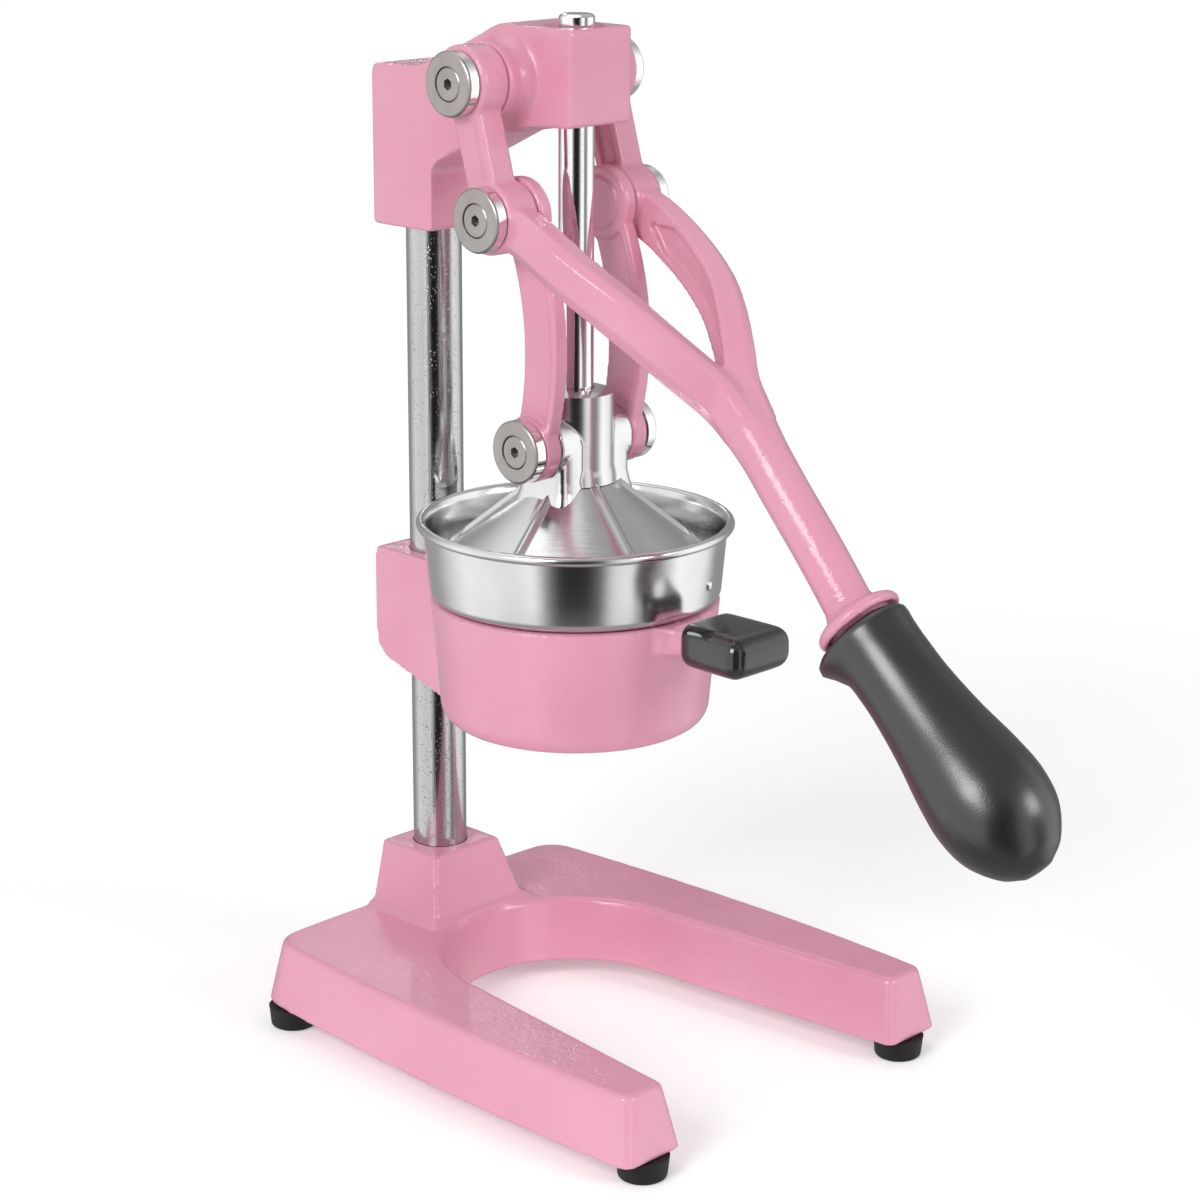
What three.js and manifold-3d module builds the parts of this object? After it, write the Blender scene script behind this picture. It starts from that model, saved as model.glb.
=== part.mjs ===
// Hand-lever citrus press: a cast base and column carry a cup ring and a head. Pulling the
// lever down drives two curved links, which push the press cone down onto a juicing cone
// that stands in a steel bowl, and the juice runs through the bowl's spout into a glass.
// Millimetres, +Z up, the lever and its grip towards -Y.
import * as THREE from "three";
import { mergeVertices } from "three/addons/utils/BufferGeometryUtils.js";
import Module from "manifold-3d";

const wasm = await Module();
wasm.setup();

// ---------------------------------------------------------------- driving dimensions
// All heights are above the surface that the feet stand on, and all lengths in Y are
// measured from the press axis, which the guide rod, press cone and bowl share.

const GAP = 0.3; // clearance between separate pieces
const SOCKET_SIDES = 6;

// feet and base
const FOOT_HEIGHT = 9;
const FOOT_R = 10.4;
const FOOT_TAPER = 0.8;
const BASE_THICKNESS = 27;
const BASE_FRONT_Y = -120;
const BASE_FRONT_HALF = 92;
const BASE_MIDDLE_HALF = 98;
const BASE_REAR_HALF = 88;
const BASE_REAR_CORNER = 15;
const BASE_FRONT_CORNER = 10;
const LEG_WIDTH = 30; // of each front leg, beside the slot
const SLOT_R = 50;
const BASE_EDGE = 6; // rounding of the base's top edges
const BASE_WALL = 9;
const BASE_TOP_SKIN = 10;

// column
const COLUMN_R = 11.4;
const COLUMN_LENGTH = 358;
const COLUMN_SOCKET = 36; // depth that the column stands in the tower and base

// tower on the base that holds the column
const TOWER_RISE = 27;
const TOWER_TOP_HALF = COLUMN_R + 7.4;
const TOWER_FOOT_HALF = TOWER_TOP_HALF + 7.2;
const TOWER_TOP_FRONT = COLUMN_R + 5.6; // from the column's axis
const TOWER_TOP_REAR = COLUMN_R + 5.1;
const TOWER_FOOT_FRONT = TOWER_TOP_FRONT + 8;
const TOWER_FOOT_REAR = TOWER_TOP_REAR - 1;
const TOWER_CORNER = 6;

// head, clamped on the column's top
const HEAD_SOCKET = 54.5; // depth of the column in the head
const HEAD_BLOCK_HEIGHT = 65;
const HEAD_HEIGHT = 85;
const HEAD_NOSE_DEPTH = 37;
const HEAD_NOSE_Y = -13.5;
const HEAD_REAR = COLUMN_R + 5.1; // behind the column's axis
const HEAD_FRONT = COLUMN_R + 6.6; // in front of the column's axis
const HEAD_HALF = COLUMN_R + 6.9;
const HEAD_NOSE_HALF = 16.4;
const HEAD_BOSS_R = 14.5;
const BUSH_WALL = 2;
const BUSH_LENGTH = 30;

// guide rod
const ROD_R = 7;
const ROD_PROUD = 4.5; // above the head when the lever is down
const ROD_NECK_R = 5; // threaded lower end, through the hub and the press cone

// linkage: pivot A joins lever and head, B lever and link, C link and press hub
const PIVOT_A_Y = 21.7;
const PIVOT_A_RISE = 64.4; // above the head's underside
const CRANK_LENGTH = 52.2;
const CRANK_ANGLE = THREE.MathUtils.degToRad(16.3); // from straight down, towards the front
const LINK_LENGTH = 91.4;
const JOURNAL_R = 7;
const SCREW_R = 3;
const SCREW_HEAD_R = 6.4;
const SCREW_HEAD_DEPTH = 4;
const SCREW_GRIP = 14; // thread length in the head's boss
const CAP_R = 12.7;
const CAP_THICKNESS = 5.4;
const HEX_SOCKET = 4; // across flats
const HEX_DEPTH = 2.4;

// links
const LINK_IN_X = 20; // inner face of the eyes
const LINK_THICKNESS = 6.4;
const LINK_LOWER_THICKNESS = 8.2;
const LINK_UPPER_R = 14.7;
const LINK_LOWER_R = 13;
const LINK_WIDTH = 19;
const LINK_BOW = 9.5;
const LINK_BUSH_WALL = 1.6;
const LINK_BUSH_DEPTH = 4.5;

// lever
const BOSS_STEP = 1.9; // the head's pivot bosses stand this much outside the links
const LEVER_THICKNESS = 13.2; // of each cheek, along the pivots
const LEVER_A_R = 14.5;
const LEVER_B_R = 14;
const CHEEK_HALF = 7;
const ARM_DEPTH = 17;
const SHAFT_R = 9.4;
const GRIP_START_Y = -149.8;
const GRIP_DROP = 137.7; // from pivot B down to where the grip starts
const GRIP_SLOPE = THREE.MathUtils.degToRad(41); // below horizontal
const COLLAR_R = 17.3;
const COLLAR_THICKNESS = 8;
const STUD_R = 4;
const STUD_LENGTH = 64;
const GRIP_NECK_R = 16.6;
const GRIP_BULB_R = 23.2;
const GRIP_LENGTH = 110;

// cup ring and its bracket
const RING_HEIGHT = 52;
const RING_TOP_R = 58.5;
const RING_TAPER = 4;
const RING_WALL = 5.5;
const RING_FLOOR = 6;
const RING_HOLE_R = 32;
const BRACKET_HALF = COLUMN_R + 5.6;
const BRACKET_REAR = COLUMN_R + 8.6; // behind the column's axis
const BRACKET_RISE = 4; // above the ring's top
const BRACKET_DROP = 3; // below the ring's underside

// bowl with its spout
const BOWL_RISE = 32; // from the ring's top to the rim
const BOWL_RIM_ROLL = 1.6;
const BOWL_FOOT_R = RING_TOP_R + GAP;
const BOWL_TOP_R = BOWL_FOOT_R + 2.2;
const BOWL_RIM_R = BOWL_TOP_R + 2.8;
const BOWL_WALL = 1.5;
const BOWL_NECK_R = RING_TOP_R - RING_WALL - 1.5;
const SPOUT_R = 13;
const SPOUT_REACH = 12; // below the ring

// juicing cone that stands in the bowl
const JUICER_WALL = 1.6;
const JUICER_FLANGE_R = BOWL_FOOT_R - BOWL_WALL - 4.5;
const JUICER_BASE_R = JUICER_FLANGE_R - 6.8;
const JUICER_APEX_R = 5;
const JUICER_RISE = 30;
const JUICER_SLOTS = 12;
const SLOT_WIDTH = 2.6;
const SLOT_LENGTH = 17;

// press hub and cone
const HUB_R = 15.4;
const HUB_ABOVE_PIVOT = 21.3;
const HUB_BELOW_PIVOT = 13.7;
const EAR_R = 12.6;
const EAR_OUT_X = LINK_IN_X - GAP;
const CONE_R = JUICER_FLANGE_R - 1.8;
const CONE_HEIGHT = 29.7; // from the rim to the flat top
const CONE_WALL = 2.4;
const CONE_RIBS = 6;
const CONE_RIB_RISE = 1.6; // over the cone's slope
const CONE_RIB_TURN = THREE.MathUtils.degToRad(14.3);
const CONE_ABOVE_RING = 20; // the rim's height over the ring when the lever is down
const NUT_R = 9;
const NUT_HEIGHT = 7;

// front grip on the ring
const STUB_HALF = 9;
const GRIP_SCREW_HEAD = 3;
const GRIP_SCREW_HEAD_R = 5;
const GRIP_SCREW_BITE = 18; // thread length in the grip
const FRONT_GRIP_HALF = 17;
const FRONT_GRIP_REAR_Y = -RING_TOP_R - 10.5;
const FRONT_GRIP_LENGTH = 32.5;
const FRONT_GRIP_HEIGHT = 17.5;
const FRONT_GRIP_RISE = 5; // above the ring's top
const FRONT_GRIP_EDGE = 5;

// set screws and base bolt
const SET_SCREW_R = 4;
const SET_SCREW_SUNK = 0.5; // below the casting's rear face
const BOLT_R = 4;
const BOLT_HEAD_R = 7;
const BOLT_HEAD_HEIGHT = 6;
const BOLT_LENGTH = 26;
const WASHER_R = 10.5;
const WASHER_THICKNESS = 2;
const FOOT_SCREW_R = 2;
const FOOT_SCREW_HEAD_R = 4;
const FOOT_SCREW_HEAD = 2.5;
const FOOT_SCREW_LENGTH = 16;
const FOOT_BOSS_R = 9;

// ---------------------------------------------------------------- places worked out from them

const COLUMN_Y = RING_TOP_R + COLUMN_R + 12.1;
const BASE_REAR_Y = COLUMN_Y + COLUMN_R + 9.6;
const FRONT_FOOT = { x: BASE_FRONT_HALF - LEG_WIDTH / 2 - 0.7, y: BASE_FRONT_Y + 7.5 };
const REAR_FOOT = { x: BASE_REAR_HALF - 7.8, y: BASE_REAR_Y - 16.5 };
const SLOT_FRONT_HALF = BASE_FRONT_HALF - LEG_WIDTH;
const BASE_TOP = FOOT_HEIGHT + BASE_THICKNESS;
const TOWER_TOP = BASE_TOP + TOWER_RISE;
const COLUMN_BOTTOM = TOWER_TOP - COLUMN_SOCKET;
const COLUMN_TOP = COLUMN_BOTTOM + COLUMN_LENGTH;

const HEAD_BOTTOM = COLUMN_TOP - HEAD_SOCKET;
const HEAD_BLOCK_TOP = HEAD_BOTTOM + HEAD_BLOCK_HEIGHT;
const HEAD_NOSE_TOP = HEAD_BOTTOM + HEAD_HEIGHT;
const HEAD_NOSE_BOTTOM = HEAD_NOSE_TOP - HEAD_NOSE_DEPTH;
const ROD_TOP = HEAD_NOSE_TOP + ROD_PROUD;

const PIVOT_A = { y: PIVOT_A_Y, z: HEAD_BOTTOM + PIVOT_A_RISE };
const PIVOT_B = {
  y: PIVOT_A.y - CRANK_LENGTH * Math.sin(CRANK_ANGLE),
  z: PIVOT_A.z - CRANK_LENGTH * Math.cos(CRANK_ANGLE),
};
const PIVOT_C = { y: 0, z: PIVOT_B.z - Math.sqrt(LINK_LENGTH ** 2 - PIVOT_B.y ** 2) };
const GRIP_START = { y: GRIP_START_Y, z: PIVOT_B.z - GRIP_DROP };

const HUB_TOP = PIVOT_C.z + HUB_ABOVE_PIVOT;
const HUB_BOTTOM = PIVOT_C.z - HUB_BELOW_PIVOT;
const CONE_TOP = HUB_BOTTOM - GAP;
const CONE_RIM_Z = CONE_TOP - CONE_HEIGHT;
const RING_TOP = CONE_RIM_Z - CONE_ABOVE_RING;
const RING_BOTTOM = RING_TOP - RING_HEIGHT;
const RING_BOTTOM_R = RING_TOP_R - RING_TAPER;
const BRACKET_TOP = RING_TOP + BRACKET_RISE;
const BRACKET_BOTTOM = RING_BOTTOM - BRACKET_DROP;
const BOWL_RIM_TOP = RING_TOP + BOWL_RISE;
const BOWL_SHOULDER_Z = RING_TOP + GAP;
const SPOUT_BOTTOM = RING_BOTTOM - SPOUT_REACH;
const FRONT_GRIP_TOP = RING_TOP + FRONT_GRIP_RISE;
const FRONT_GRIP_BOTTOM = FRONT_GRIP_TOP - FRONT_GRIP_HEIGHT;
const FRONT_GRIP_FRONT_Y = FRONT_GRIP_REAR_Y - FRONT_GRIP_LENGTH;

// across the press: link, head boss and lever cheek stand side by side
const LINK_OUTER_X = LINK_IN_X + LINK_THICKNESS;
const LINK_LOWER_OUTER_X = LINK_IN_X + LINK_LOWER_THICKNESS;
const HEAD_BOSS_X = LINK_OUTER_X + BOSS_STEP;
const LEVER_INNER_X = HEAD_BOSS_X + GAP;
const LEVER_OUTER_X = LEVER_INNER_X + LEVER_THICKNESS;
const LEVER_INNER_B_X = LINK_OUTER_X + GAP;

// ---------------------------------------------------------------- materials

const FINISHES = {
  pinkEnamel: { color: 0xe9a9b8, roughness: 0.22, metalness: 0 },
  chrome: { color: 0xd8d9da, roughness: 0.08, metalness: 1 },
  stainless: { color: 0xc6c7c9, roughness: 0.24, metalness: 1 },
  castAluminium: { color: 0xd2d3d4, roughness: 0.3, metalness: 1 },
  satinNickel: { color: 0xb9b2ab, roughness: 0.36, metalness: 1 },
  zincSteel: { color: 0x9a9a98, roughness: 0.4, metalness: 1 },
  bronze: { color: 0xa8793e, roughness: 0.35, metalness: 1 },
  blackGloss: { color: 0x141516, roughness: 0.18, metalness: 0 },
  blackSatin: { color: 0x1a1b1d, roughness: 0.42, metalness: 0 },
  blackRubber: { color: 0x1c1c1c, roughness: 0.8, metalness: 0 },
};

// ---------------------------------------------------------------- shape helpers

function solidOf(geometry) {
  const bare = geometry.index ? geometry.toNonIndexed() : geometry.clone();
  bare.deleteAttribute("normal");
  bare.deleteAttribute("uv");
  const merged = mergeVertices(bare, 1e-4);
  return new wasm.Manifold(
    new wasm.Mesh({
      numProp: 3,
      vertProperties: merged.attributes.position.array,
      triVerts: new Uint32Array(merged.index.array),
    }),
  );
}

function geometryOf(solid) {
  const mesh = solid.getMesh();
  const geometry = new THREE.BufferGeometry();
  geometry.setAttribute("position", new THREE.BufferAttribute(mesh.vertProperties, 3));
  geometry.setIndex(new THREE.BufferAttribute(mesh.triVerts, 1));
  return geometry;
}

function joined(first, ...others) {
  return others.reduce((sum, other) => sum.add(other), first);
}

function cut(first, ...others) {
  return others.reduce((rest, other) => rest.subtract(other), first);
}

function point(x, y) {
  return new THREE.Vector2(x, y);
}

// A profile of [radius, height] turned about the Z axis.
function turned(profile, sides = 28) {
  const points = profile.map(([r, z]) => point(r, z));
  if (THREE.ShapeUtils.area(points) < 0) points.reverse();
  if (points[0].x > 0) points.push(points[0].clone());
  return new THREE.LatheGeometry(points, sides).rotateX(Math.PI / 2);
}

// A plain round bar about the Z axis from one height to another.
function bar(radius, bottom, top, sides = 18) {
  return turned([[0, bottom], [radius, bottom], [radius, top], [0, top]], sides);
}

// A round bar along X between two places, about the given pivot.
function crossBar(pivot, radius, fromX, toX, sides = 22) {
  const low = Math.min(fromX, toX);
  const high = Math.max(fromX, toX);
  return bar(radius, low, high, sides).rotateY(Math.PI / 2).translate(0, pivot.y, pivot.z);
}

// An outline drawn in Y and Z, given depth along X from one place to another.
function plate(shape, fromX, toX, curveSegments = 8) {
  const low = Math.min(fromX, toX);
  const depth = Math.abs(toX - fromX);
  const geometry = new THREE.ExtrudeGeometry(shape, { depth, bevelEnabled: false, curveSegments });
  return geometry.rotateX(Math.PI / 2).rotateZ(Math.PI / 2).translate(low, 0, 0);
}

// An outline drawn in X and Y, given height from one Z to another.
function slab(shape, bottom, top, curveSegments = 8) {
  const options = { depth: top - bottom, bevelEnabled: false, curveSegments };
  return new THREE.ExtrudeGeometry(shape, options).translate(0, 0, bottom);
}

function block(minX, maxX, minY, maxY, minZ, maxZ) {
  const size = new THREE.BoxGeometry(maxX - minX, maxY - minY, maxZ - minZ);
  return size.translate((minX + maxX) / 2, (minY + maxY) / 2, (minZ + maxZ) / 2);
}

// A closed outline through the corners, each rounded by its own radius [x, y, radius].
function roundedOutline(corners) {
  const shape = new THREE.Shape();
  const count = corners.length;
  corners.forEach(([x, y, radius], i) => {
    const here = point(x, y);
    const before = point(...corners[(i + count - 1) % count]);
    const after = point(...corners[(i + 1) % count]);
    const back = before.sub(here).normalize().multiplyScalar(radius).add(here);
    const ahead = after.sub(here).normalize().multiplyScalar(radius).add(here);
    if (i === 0) shape.moveTo(back.x, back.y);
    else shape.lineTo(back.x, back.y);
    if (radius > 0) shape.quadraticCurveTo(x, y, ahead.x, ahead.y);
  });
  shape.closePath();
  return shape;
}

// Moves each point of a geometry by a rule that is given the point.
function reshaped(geometry, rule) {
  const places = geometry.attributes.position;
  const at = new THREE.Vector3();
  for (let i = 0; i < places.count; i += 1) {
    at.fromBufferAttribute(places, i);
    rule(at);
    places.setXYZ(i, at.x, at.y, at.z);
  }
  return geometry;
}

function hexagon(acrossFlats) {
  const radius = acrossFlats / Math.sqrt(3);
  const shape = new THREE.Shape();
  for (let i = 0; i < SOCKET_SIDES; i += 1) {
    const turn = (i / SOCKET_SIDES) * 2 * Math.PI;
    if (i === 0) shape.moveTo(radius, 0);
    else shape.lineTo(radius * Math.cos(turn), radius * Math.sin(turn));
  }
  shape.closePath();
  return shape;
}

const press = new THREE.Group();

// Adds a named mesh to the press, or to the group that places it.
function piece(name, geometry, finish, group = press) {
  const mesh = new THREE.Mesh(geometry, new THREE.MeshStandardMaterial(FINISHES[finish]));
  mesh.name = name;
  group.add(mesh);
  return mesh;
}

const SIDES = [["left", -1], ["right", 1]];

// ---------------------------------------------------------------- base

// The base seen from above, or the same outline a wall's thickness inside it.
function baseOutline(inset = 0) {
  const front = BASE_FRONT_Y + inset;
  const rear = BASE_REAR_Y - inset;
  const frontHalf = BASE_FRONT_HALF - inset;
  const middle = point(BASE_MIDDLE_HALF - inset, (BASE_FRONT_Y + BASE_REAR_Y) / 2 - 12);
  const rearHalf = BASE_REAR_HALF - inset;
  const slotHalf = SLOT_FRONT_HALF + inset;
  const slotR = SLOT_R + inset;
  const corner = Math.min(BASE_FRONT_CORNER, 0.45 * (frontHalf - slotHalf));
  const rearCorner = BASE_REAR_CORNER - inset / 2;
  const shape = new THREE.Shape();
  shape.moveTo(slotHalf + corner, front);
  shape.lineTo(frontHalf - corner, front);
  shape.quadraticCurveTo(frontHalf, front, frontHalf + 0.8, front + corner);
  shape.quadraticCurveTo(middle.x, middle.y, rearHalf, rear - rearCorner);
  shape.quadraticCurveTo(rearHalf - 2, rear - 2, rearHalf - rearCorner, rear - 1);
  shape.quadraticCurveTo(0, rear + 1, rearCorner - rearHalf, rear - 1);
  shape.quadraticCurveTo(2 - rearHalf, rear - 2, -rearHalf, rear - rearCorner);
  shape.quadraticCurveTo(-middle.x, middle.y, -frontHalf - 0.8, front + corner);
  shape.quadraticCurveTo(-frontHalf, front, corner - frontHalf, front);
  shape.lineTo(-slotHalf - corner, front);
  shape.quadraticCurveTo(-slotHalf, front, -slotHalf, front + corner);
  shape.absarc(0, 0, slotR, Math.PI, 0, true);
  shape.lineTo(slotHalf, front + corner);
  shape.quadraticCurveTo(slotHalf, front, slotHalf + corner, front);
  return shape;
}

// The base's outline with rounded upper edges.
function baseBlank() {
  const geometry = new THREE.ExtrudeGeometry(baseOutline(), {
    depth: BASE_THICKNESS,
    bevelEnabled: true,
    bevelThickness: BASE_EDGE,
    bevelSize: BASE_EDGE,
    bevelOffset: -BASE_EDGE,
    bevelSegments: 3,
    curveSegments: 7,
  }).translate(0, 0, FOOT_HEIGHT - BASE_EDGE);
  const below = block(-200, 200, -200, 200, -BASE_THICKNESS, FOOT_HEIGHT);
  return cut(solidOf(geometry), solidOf(below));
}

function towerBlank() {
  const shape = roundedOutline([
    [TOWER_TOP_HALF, COLUMN_Y - TOWER_TOP_FRONT, TOWER_CORNER],
    [TOWER_TOP_HALF, COLUMN_Y + TOWER_TOP_REAR, TOWER_CORNER],
    [-TOWER_TOP_HALF, COLUMN_Y + TOWER_TOP_REAR, TOWER_CORNER],
    [-TOWER_TOP_HALF, COLUMN_Y - TOWER_TOP_FRONT, TOWER_CORNER],
  ]);
  const spread = TOWER_FOOT_HALF / TOWER_TOP_HALF - 1;
  const bottom = BASE_TOP - BASE_TOP_SKIN;
  return reshaped(slab(shape, bottom, TOWER_TOP, 4), (at) => {
    const down = (TOWER_TOP - at.z) / TOWER_RISE;
    const frontWards = (COLUMN_Y - at.y) / TOWER_TOP_FRONT;
    const frontSpread = (TOWER_FOOT_FRONT - TOWER_TOP_FRONT) * down * frontWards;
    const rearSpread = (TOWER_FOOT_REAR - TOWER_TOP_REAR) * down * frontWards;
    at.x *= 1 + spread * down;
    at.y -= frontWards > 0 ? frontSpread : rearSpread;
  });
}

const FEET = [
  ["front_left", -FRONT_FOOT.x, FRONT_FOOT.y],
  ["front_right", FRONT_FOOT.x, FRONT_FOOT.y],
  ["rear_left", -REAR_FOOT.x, REAR_FOOT.y],
  ["rear_right", REAR_FOOT.x, REAR_FOOT.y],
];

function baseCasting() {
  const pocketTop = BASE_TOP - BASE_TOP_SKIN;
  const pocket = cut(
    solidOf(slab(baseOutline(BASE_WALL), 0, pocketTop, 5)),
    ...FEET.map(([, x, y]) => solidOf(bar(FOOT_BOSS_R, 0, BASE_TOP, 16).translate(x, y, 0))),
    solidOf(bar(COLUMN_R + BASE_WALL, 0, BASE_TOP, 24).translate(0, COLUMN_Y, 0)),
  );
  const boltSpace = bar(WASHER_R + 1.5, FOOT_HEIGHT - 1, COLUMN_BOTTOM - BASE_WALL);
  return cut(
    joined(baseBlank(), solidOf(towerBlank())),
    pocket,
    solidOf(bar(COLUMN_R + GAP, COLUMN_BOTTOM - GAP, TOWER_TOP + 1, 32).translate(0, COLUMN_Y, 0)),
    solidOf(bar(BOLT_R + GAP, FOOT_HEIGHT, COLUMN_BOTTOM).translate(0, COLUMN_Y, 0)),
    solidOf(boltSpace.translate(0, COLUMN_Y, 0)),
    ...FEET.map(([, x, y]) => solidOf(footScrewHole().translate(x, y, 0))),
  );
}

function footScrewHole() {
  return bar(FOOT_SCREW_R + GAP, FOOT_HEIGHT - 1, FOOT_SCREW_LENGTH + 5, 12);
}

function foot() {
  const seat = FOOT_SCREW_HEAD_R + 0.8;
  const hole = FOOT_SCREW_R + GAP;
  return turned([
    [seat, 0],
    [FOOT_R - FOOT_TAPER - 1, 0],
    [FOOT_R - FOOT_TAPER, 1],
    [FOOT_R, FOOT_HEIGHT - GAP],
    [hole, FOOT_HEIGHT - GAP],
    [hole, FOOT_HEIGHT / 2],
    [seat, FOOT_HEIGHT / 2],
  ], 16);
}

function footScrew() {
  const seat = FOOT_HEIGHT / 2 - GAP;
  return turned([
    [0, seat - FOOT_SCREW_HEAD],
    [FOOT_SCREW_HEAD_R - 1, seat - FOOT_SCREW_HEAD],
    [FOOT_SCREW_HEAD_R, seat - 1],
    [FOOT_SCREW_HEAD_R, seat],
    [FOOT_SCREW_R, seat],
    [FOOT_SCREW_R, seat + FOOT_SCREW_LENGTH],
    [0, seat + FOOT_SCREW_LENGTH],
  ], 12);
}

piece("base_casting", geometryOf(baseCasting()), "pinkEnamel");
for (const [name, x, y] of FEET) {
  piece("foot_" + name, foot(), "blackRubber").position.set(x, y, 0);
  piece("foot_screw_" + name, footScrew(), "zincSteel").position.set(x, y, 0);
}

// ---------------------------------------------------------------- column and its bolt

function column() {
  const blank = turned([
    [0, COLUMN_BOTTOM],
    [COLUMN_R - 0.8, COLUMN_BOTTOM],
    [COLUMN_R, COLUMN_BOTTOM + 0.8],
    [COLUMN_R, COLUMN_TOP - 1],
    [COLUMN_R - 1, COLUMN_TOP],
    [0, COLUMN_TOP],
  ], 28);
  const thread = bar(BOLT_R + GAP, COLUMN_BOTTOM - 1, COLUMN_BOTTOM + BOLT_LENGTH, 20);
  return cut(solidOf(blank), solidOf(thread));
}

const washerTop = COLUMN_BOTTOM - BASE_WALL - GAP;
const boltSeat = washerTop - WASHER_THICKNESS - GAP;

function columnBolt() {
  const shank = turned([
    [0, boltSeat - BOLT_HEAD_HEIGHT],
    [BOLT_HEAD_R - 0.8, boltSeat - BOLT_HEAD_HEIGHT],
    [BOLT_HEAD_R, boltSeat - BOLT_HEAD_HEIGHT + 0.8],
    [BOLT_HEAD_R, boltSeat],
    [BOLT_R, boltSeat],
    [BOLT_R, boltSeat + BOLT_LENGTH],
    [0, boltSeat + BOLT_LENGTH],
  ], 24);
  const socketFloor = boltSeat - BOLT_HEAD_HEIGHT / 2;
  const socket = slab(hexagon(HEX_SOCKET + 2), boltSeat - BOLT_HEAD_HEIGHT - 1, socketFloor);
  return cut(solidOf(shank), solidOf(socket));
}

function columnWasher() {
  const low = washerTop - WASHER_THICKNESS;
  const hole = BOLT_R + GAP;
  return turned([[hole, low], [WASHER_R, low], [WASHER_R, washerTop], [hole, washerTop]], 28);
}

piece("column", geometryOf(column()), "chrome").position.y = COLUMN_Y;
piece("column_bolt", geometryOf(columnBolt()), "zincSteel").position.y = COLUMN_Y;
piece("column_washer", columnWasher(), "zincSteel").position.y = COLUMN_Y;

// ---------------------------------------------------------------- set screws

// A headless screw along Y whose point bears on the column and whose socket faces back.
function setScrew(castingRear) {
  const outerEnd = castingRear - SET_SCREW_SUNK;
  const body = bar(SET_SCREW_R, COLUMN_R + GAP, outerEnd, 20);
  const socket = slab(hexagon(HEX_SOCKET), outerEnd - HEX_DEPTH, outerEnd + 1);
  return geometryOf(cut(solidOf(body), solidOf(socket))).rotateX(-Math.PI / 2);
}

// The hole for one, from the column's bore out through the wall behind it.
function setScrewHole(z) {
  return bar(SET_SCREW_R + GAP, 0, 2 * BRACKET_REAR, 20).rotateX(-Math.PI / 2).translate(0, COLUMN_Y, z);
}

function placeSetScrew(name, castingRear, z) {
  piece(name, setScrew(castingRear), "zincSteel").position.set(0, COLUMN_Y, z);
}

// ---------------------------------------------------------------- head

const HEAD_SCREW_Z = [HEAD_BOTTOM + 14, HEAD_BOTTOM + 42];

function headOutline() {
  const front = COLUMN_Y - HEAD_FRONT;
  const rear = COLUMN_Y + HEAD_REAR;
  return roundedOutline([
    [front, HEAD_BOTTOM, 3],
    [rear, HEAD_BOTTOM, 4],
    [rear, HEAD_BLOCK_TOP, 9],
    [front + 6, HEAD_BLOCK_TOP, 12],
    [PIVOT_A.y + 4, HEAD_NOSE_TOP, 12],
    [HEAD_NOSE_Y, HEAD_NOSE_TOP, 5],
    [HEAD_NOSE_Y, HEAD_NOSE_BOTTOM, 5],
    [PIVOT_A.y, HEAD_NOSE_BOTTOM - 4, 8],
    [front, HEAD_BOTTOM + 33, 16],
  ]);
}

function headCasting() {
  const rear = COLUMN_Y + HEAD_REAR;
  const body = reshaped(plate(headOutline(), -HEAD_HALF, HEAD_HALF, 4), (at) => {
    const forward = (rear - at.y) / (rear - HEAD_NOSE_Y);
    at.x *= 1 - forward * (1 - HEAD_NOSE_HALF / HEAD_HALF);
  });
  const bosses = crossBar(PIVOT_A, HEAD_BOSS_R, -HEAD_BOSS_X, HEAD_BOSS_X);
  const rodBore = bar(ROD_R + GAP, HEAD_BOTTOM, HEAD_NOSE_TOP + 1, 28);
  const bushTop = HEAD_NOSE_TOP - 3;
  const bushBore = bar(ROD_R + BUSH_WALL + 2 * GAP, HEAD_BOTTOM, bushTop, 28);
  const columnBore = bar(COLUMN_R + GAP, HEAD_BOTTOM - 1, COLUMN_TOP + GAP, 32);
  return cut(
    joined(solidOf(body), solidOf(bosses)),
    solidOf(rodBore),
    solidOf(bushBore),
    solidOf(columnBore.translate(0, COLUMN_Y, 0)),
    ...SIDES.map(([, side]) => solidOf(crossBar(
      PIVOT_A, SCREW_R + GAP, side * (HEAD_BOSS_X + 1), side * (HEAD_BOSS_X - SCREW_GRIP), 16))),
    ...HEAD_SCREW_Z.map((z) => solidOf(setScrewHole(z))),
  );
}

function guideBush() {
  const top = HEAD_NOSE_TOP - 3 - GAP;
  const inner = ROD_R + GAP;
  const outer = inner + BUSH_WALL;
  return turned([
    [inner, top - BUSH_LENGTH], [outer, top - BUSH_LENGTH], [outer, top], [inner, top],
  ], 28);
}

piece("head_casting", geometryOf(headCasting()), "pinkEnamel");
piece("rod_guide_bush", guideBush(), "bronze");
HEAD_SCREW_Z.forEach((z, i) => placeSetScrew("head_set_screw_" + (i + 1), HEAD_REAR, z));

// ---------------------------------------------------------------- bracket and cup ring

const BRACKET_SCREW_Z = [BRACKET_TOP - 14, BRACKET_TOP - 40];
const ringFloorTop = RING_BOTTOM + RING_FLOOR;

// The front grip's screw is put in from inside the ring, its head sunk in the ring's wall.
const gripScrewZ = (FRONT_GRIP_BOTTOM + FRONT_GRIP_TOP) / 2 - 1;
const gripScrewSeatY = RING_WALL - RING_TOP_R - GRIP_SCREW_HEAD;
const gripScrewReach = gripScrewSeatY - FRONT_GRIP_REAR_Y + GRIP_SCREW_BITE;

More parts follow.
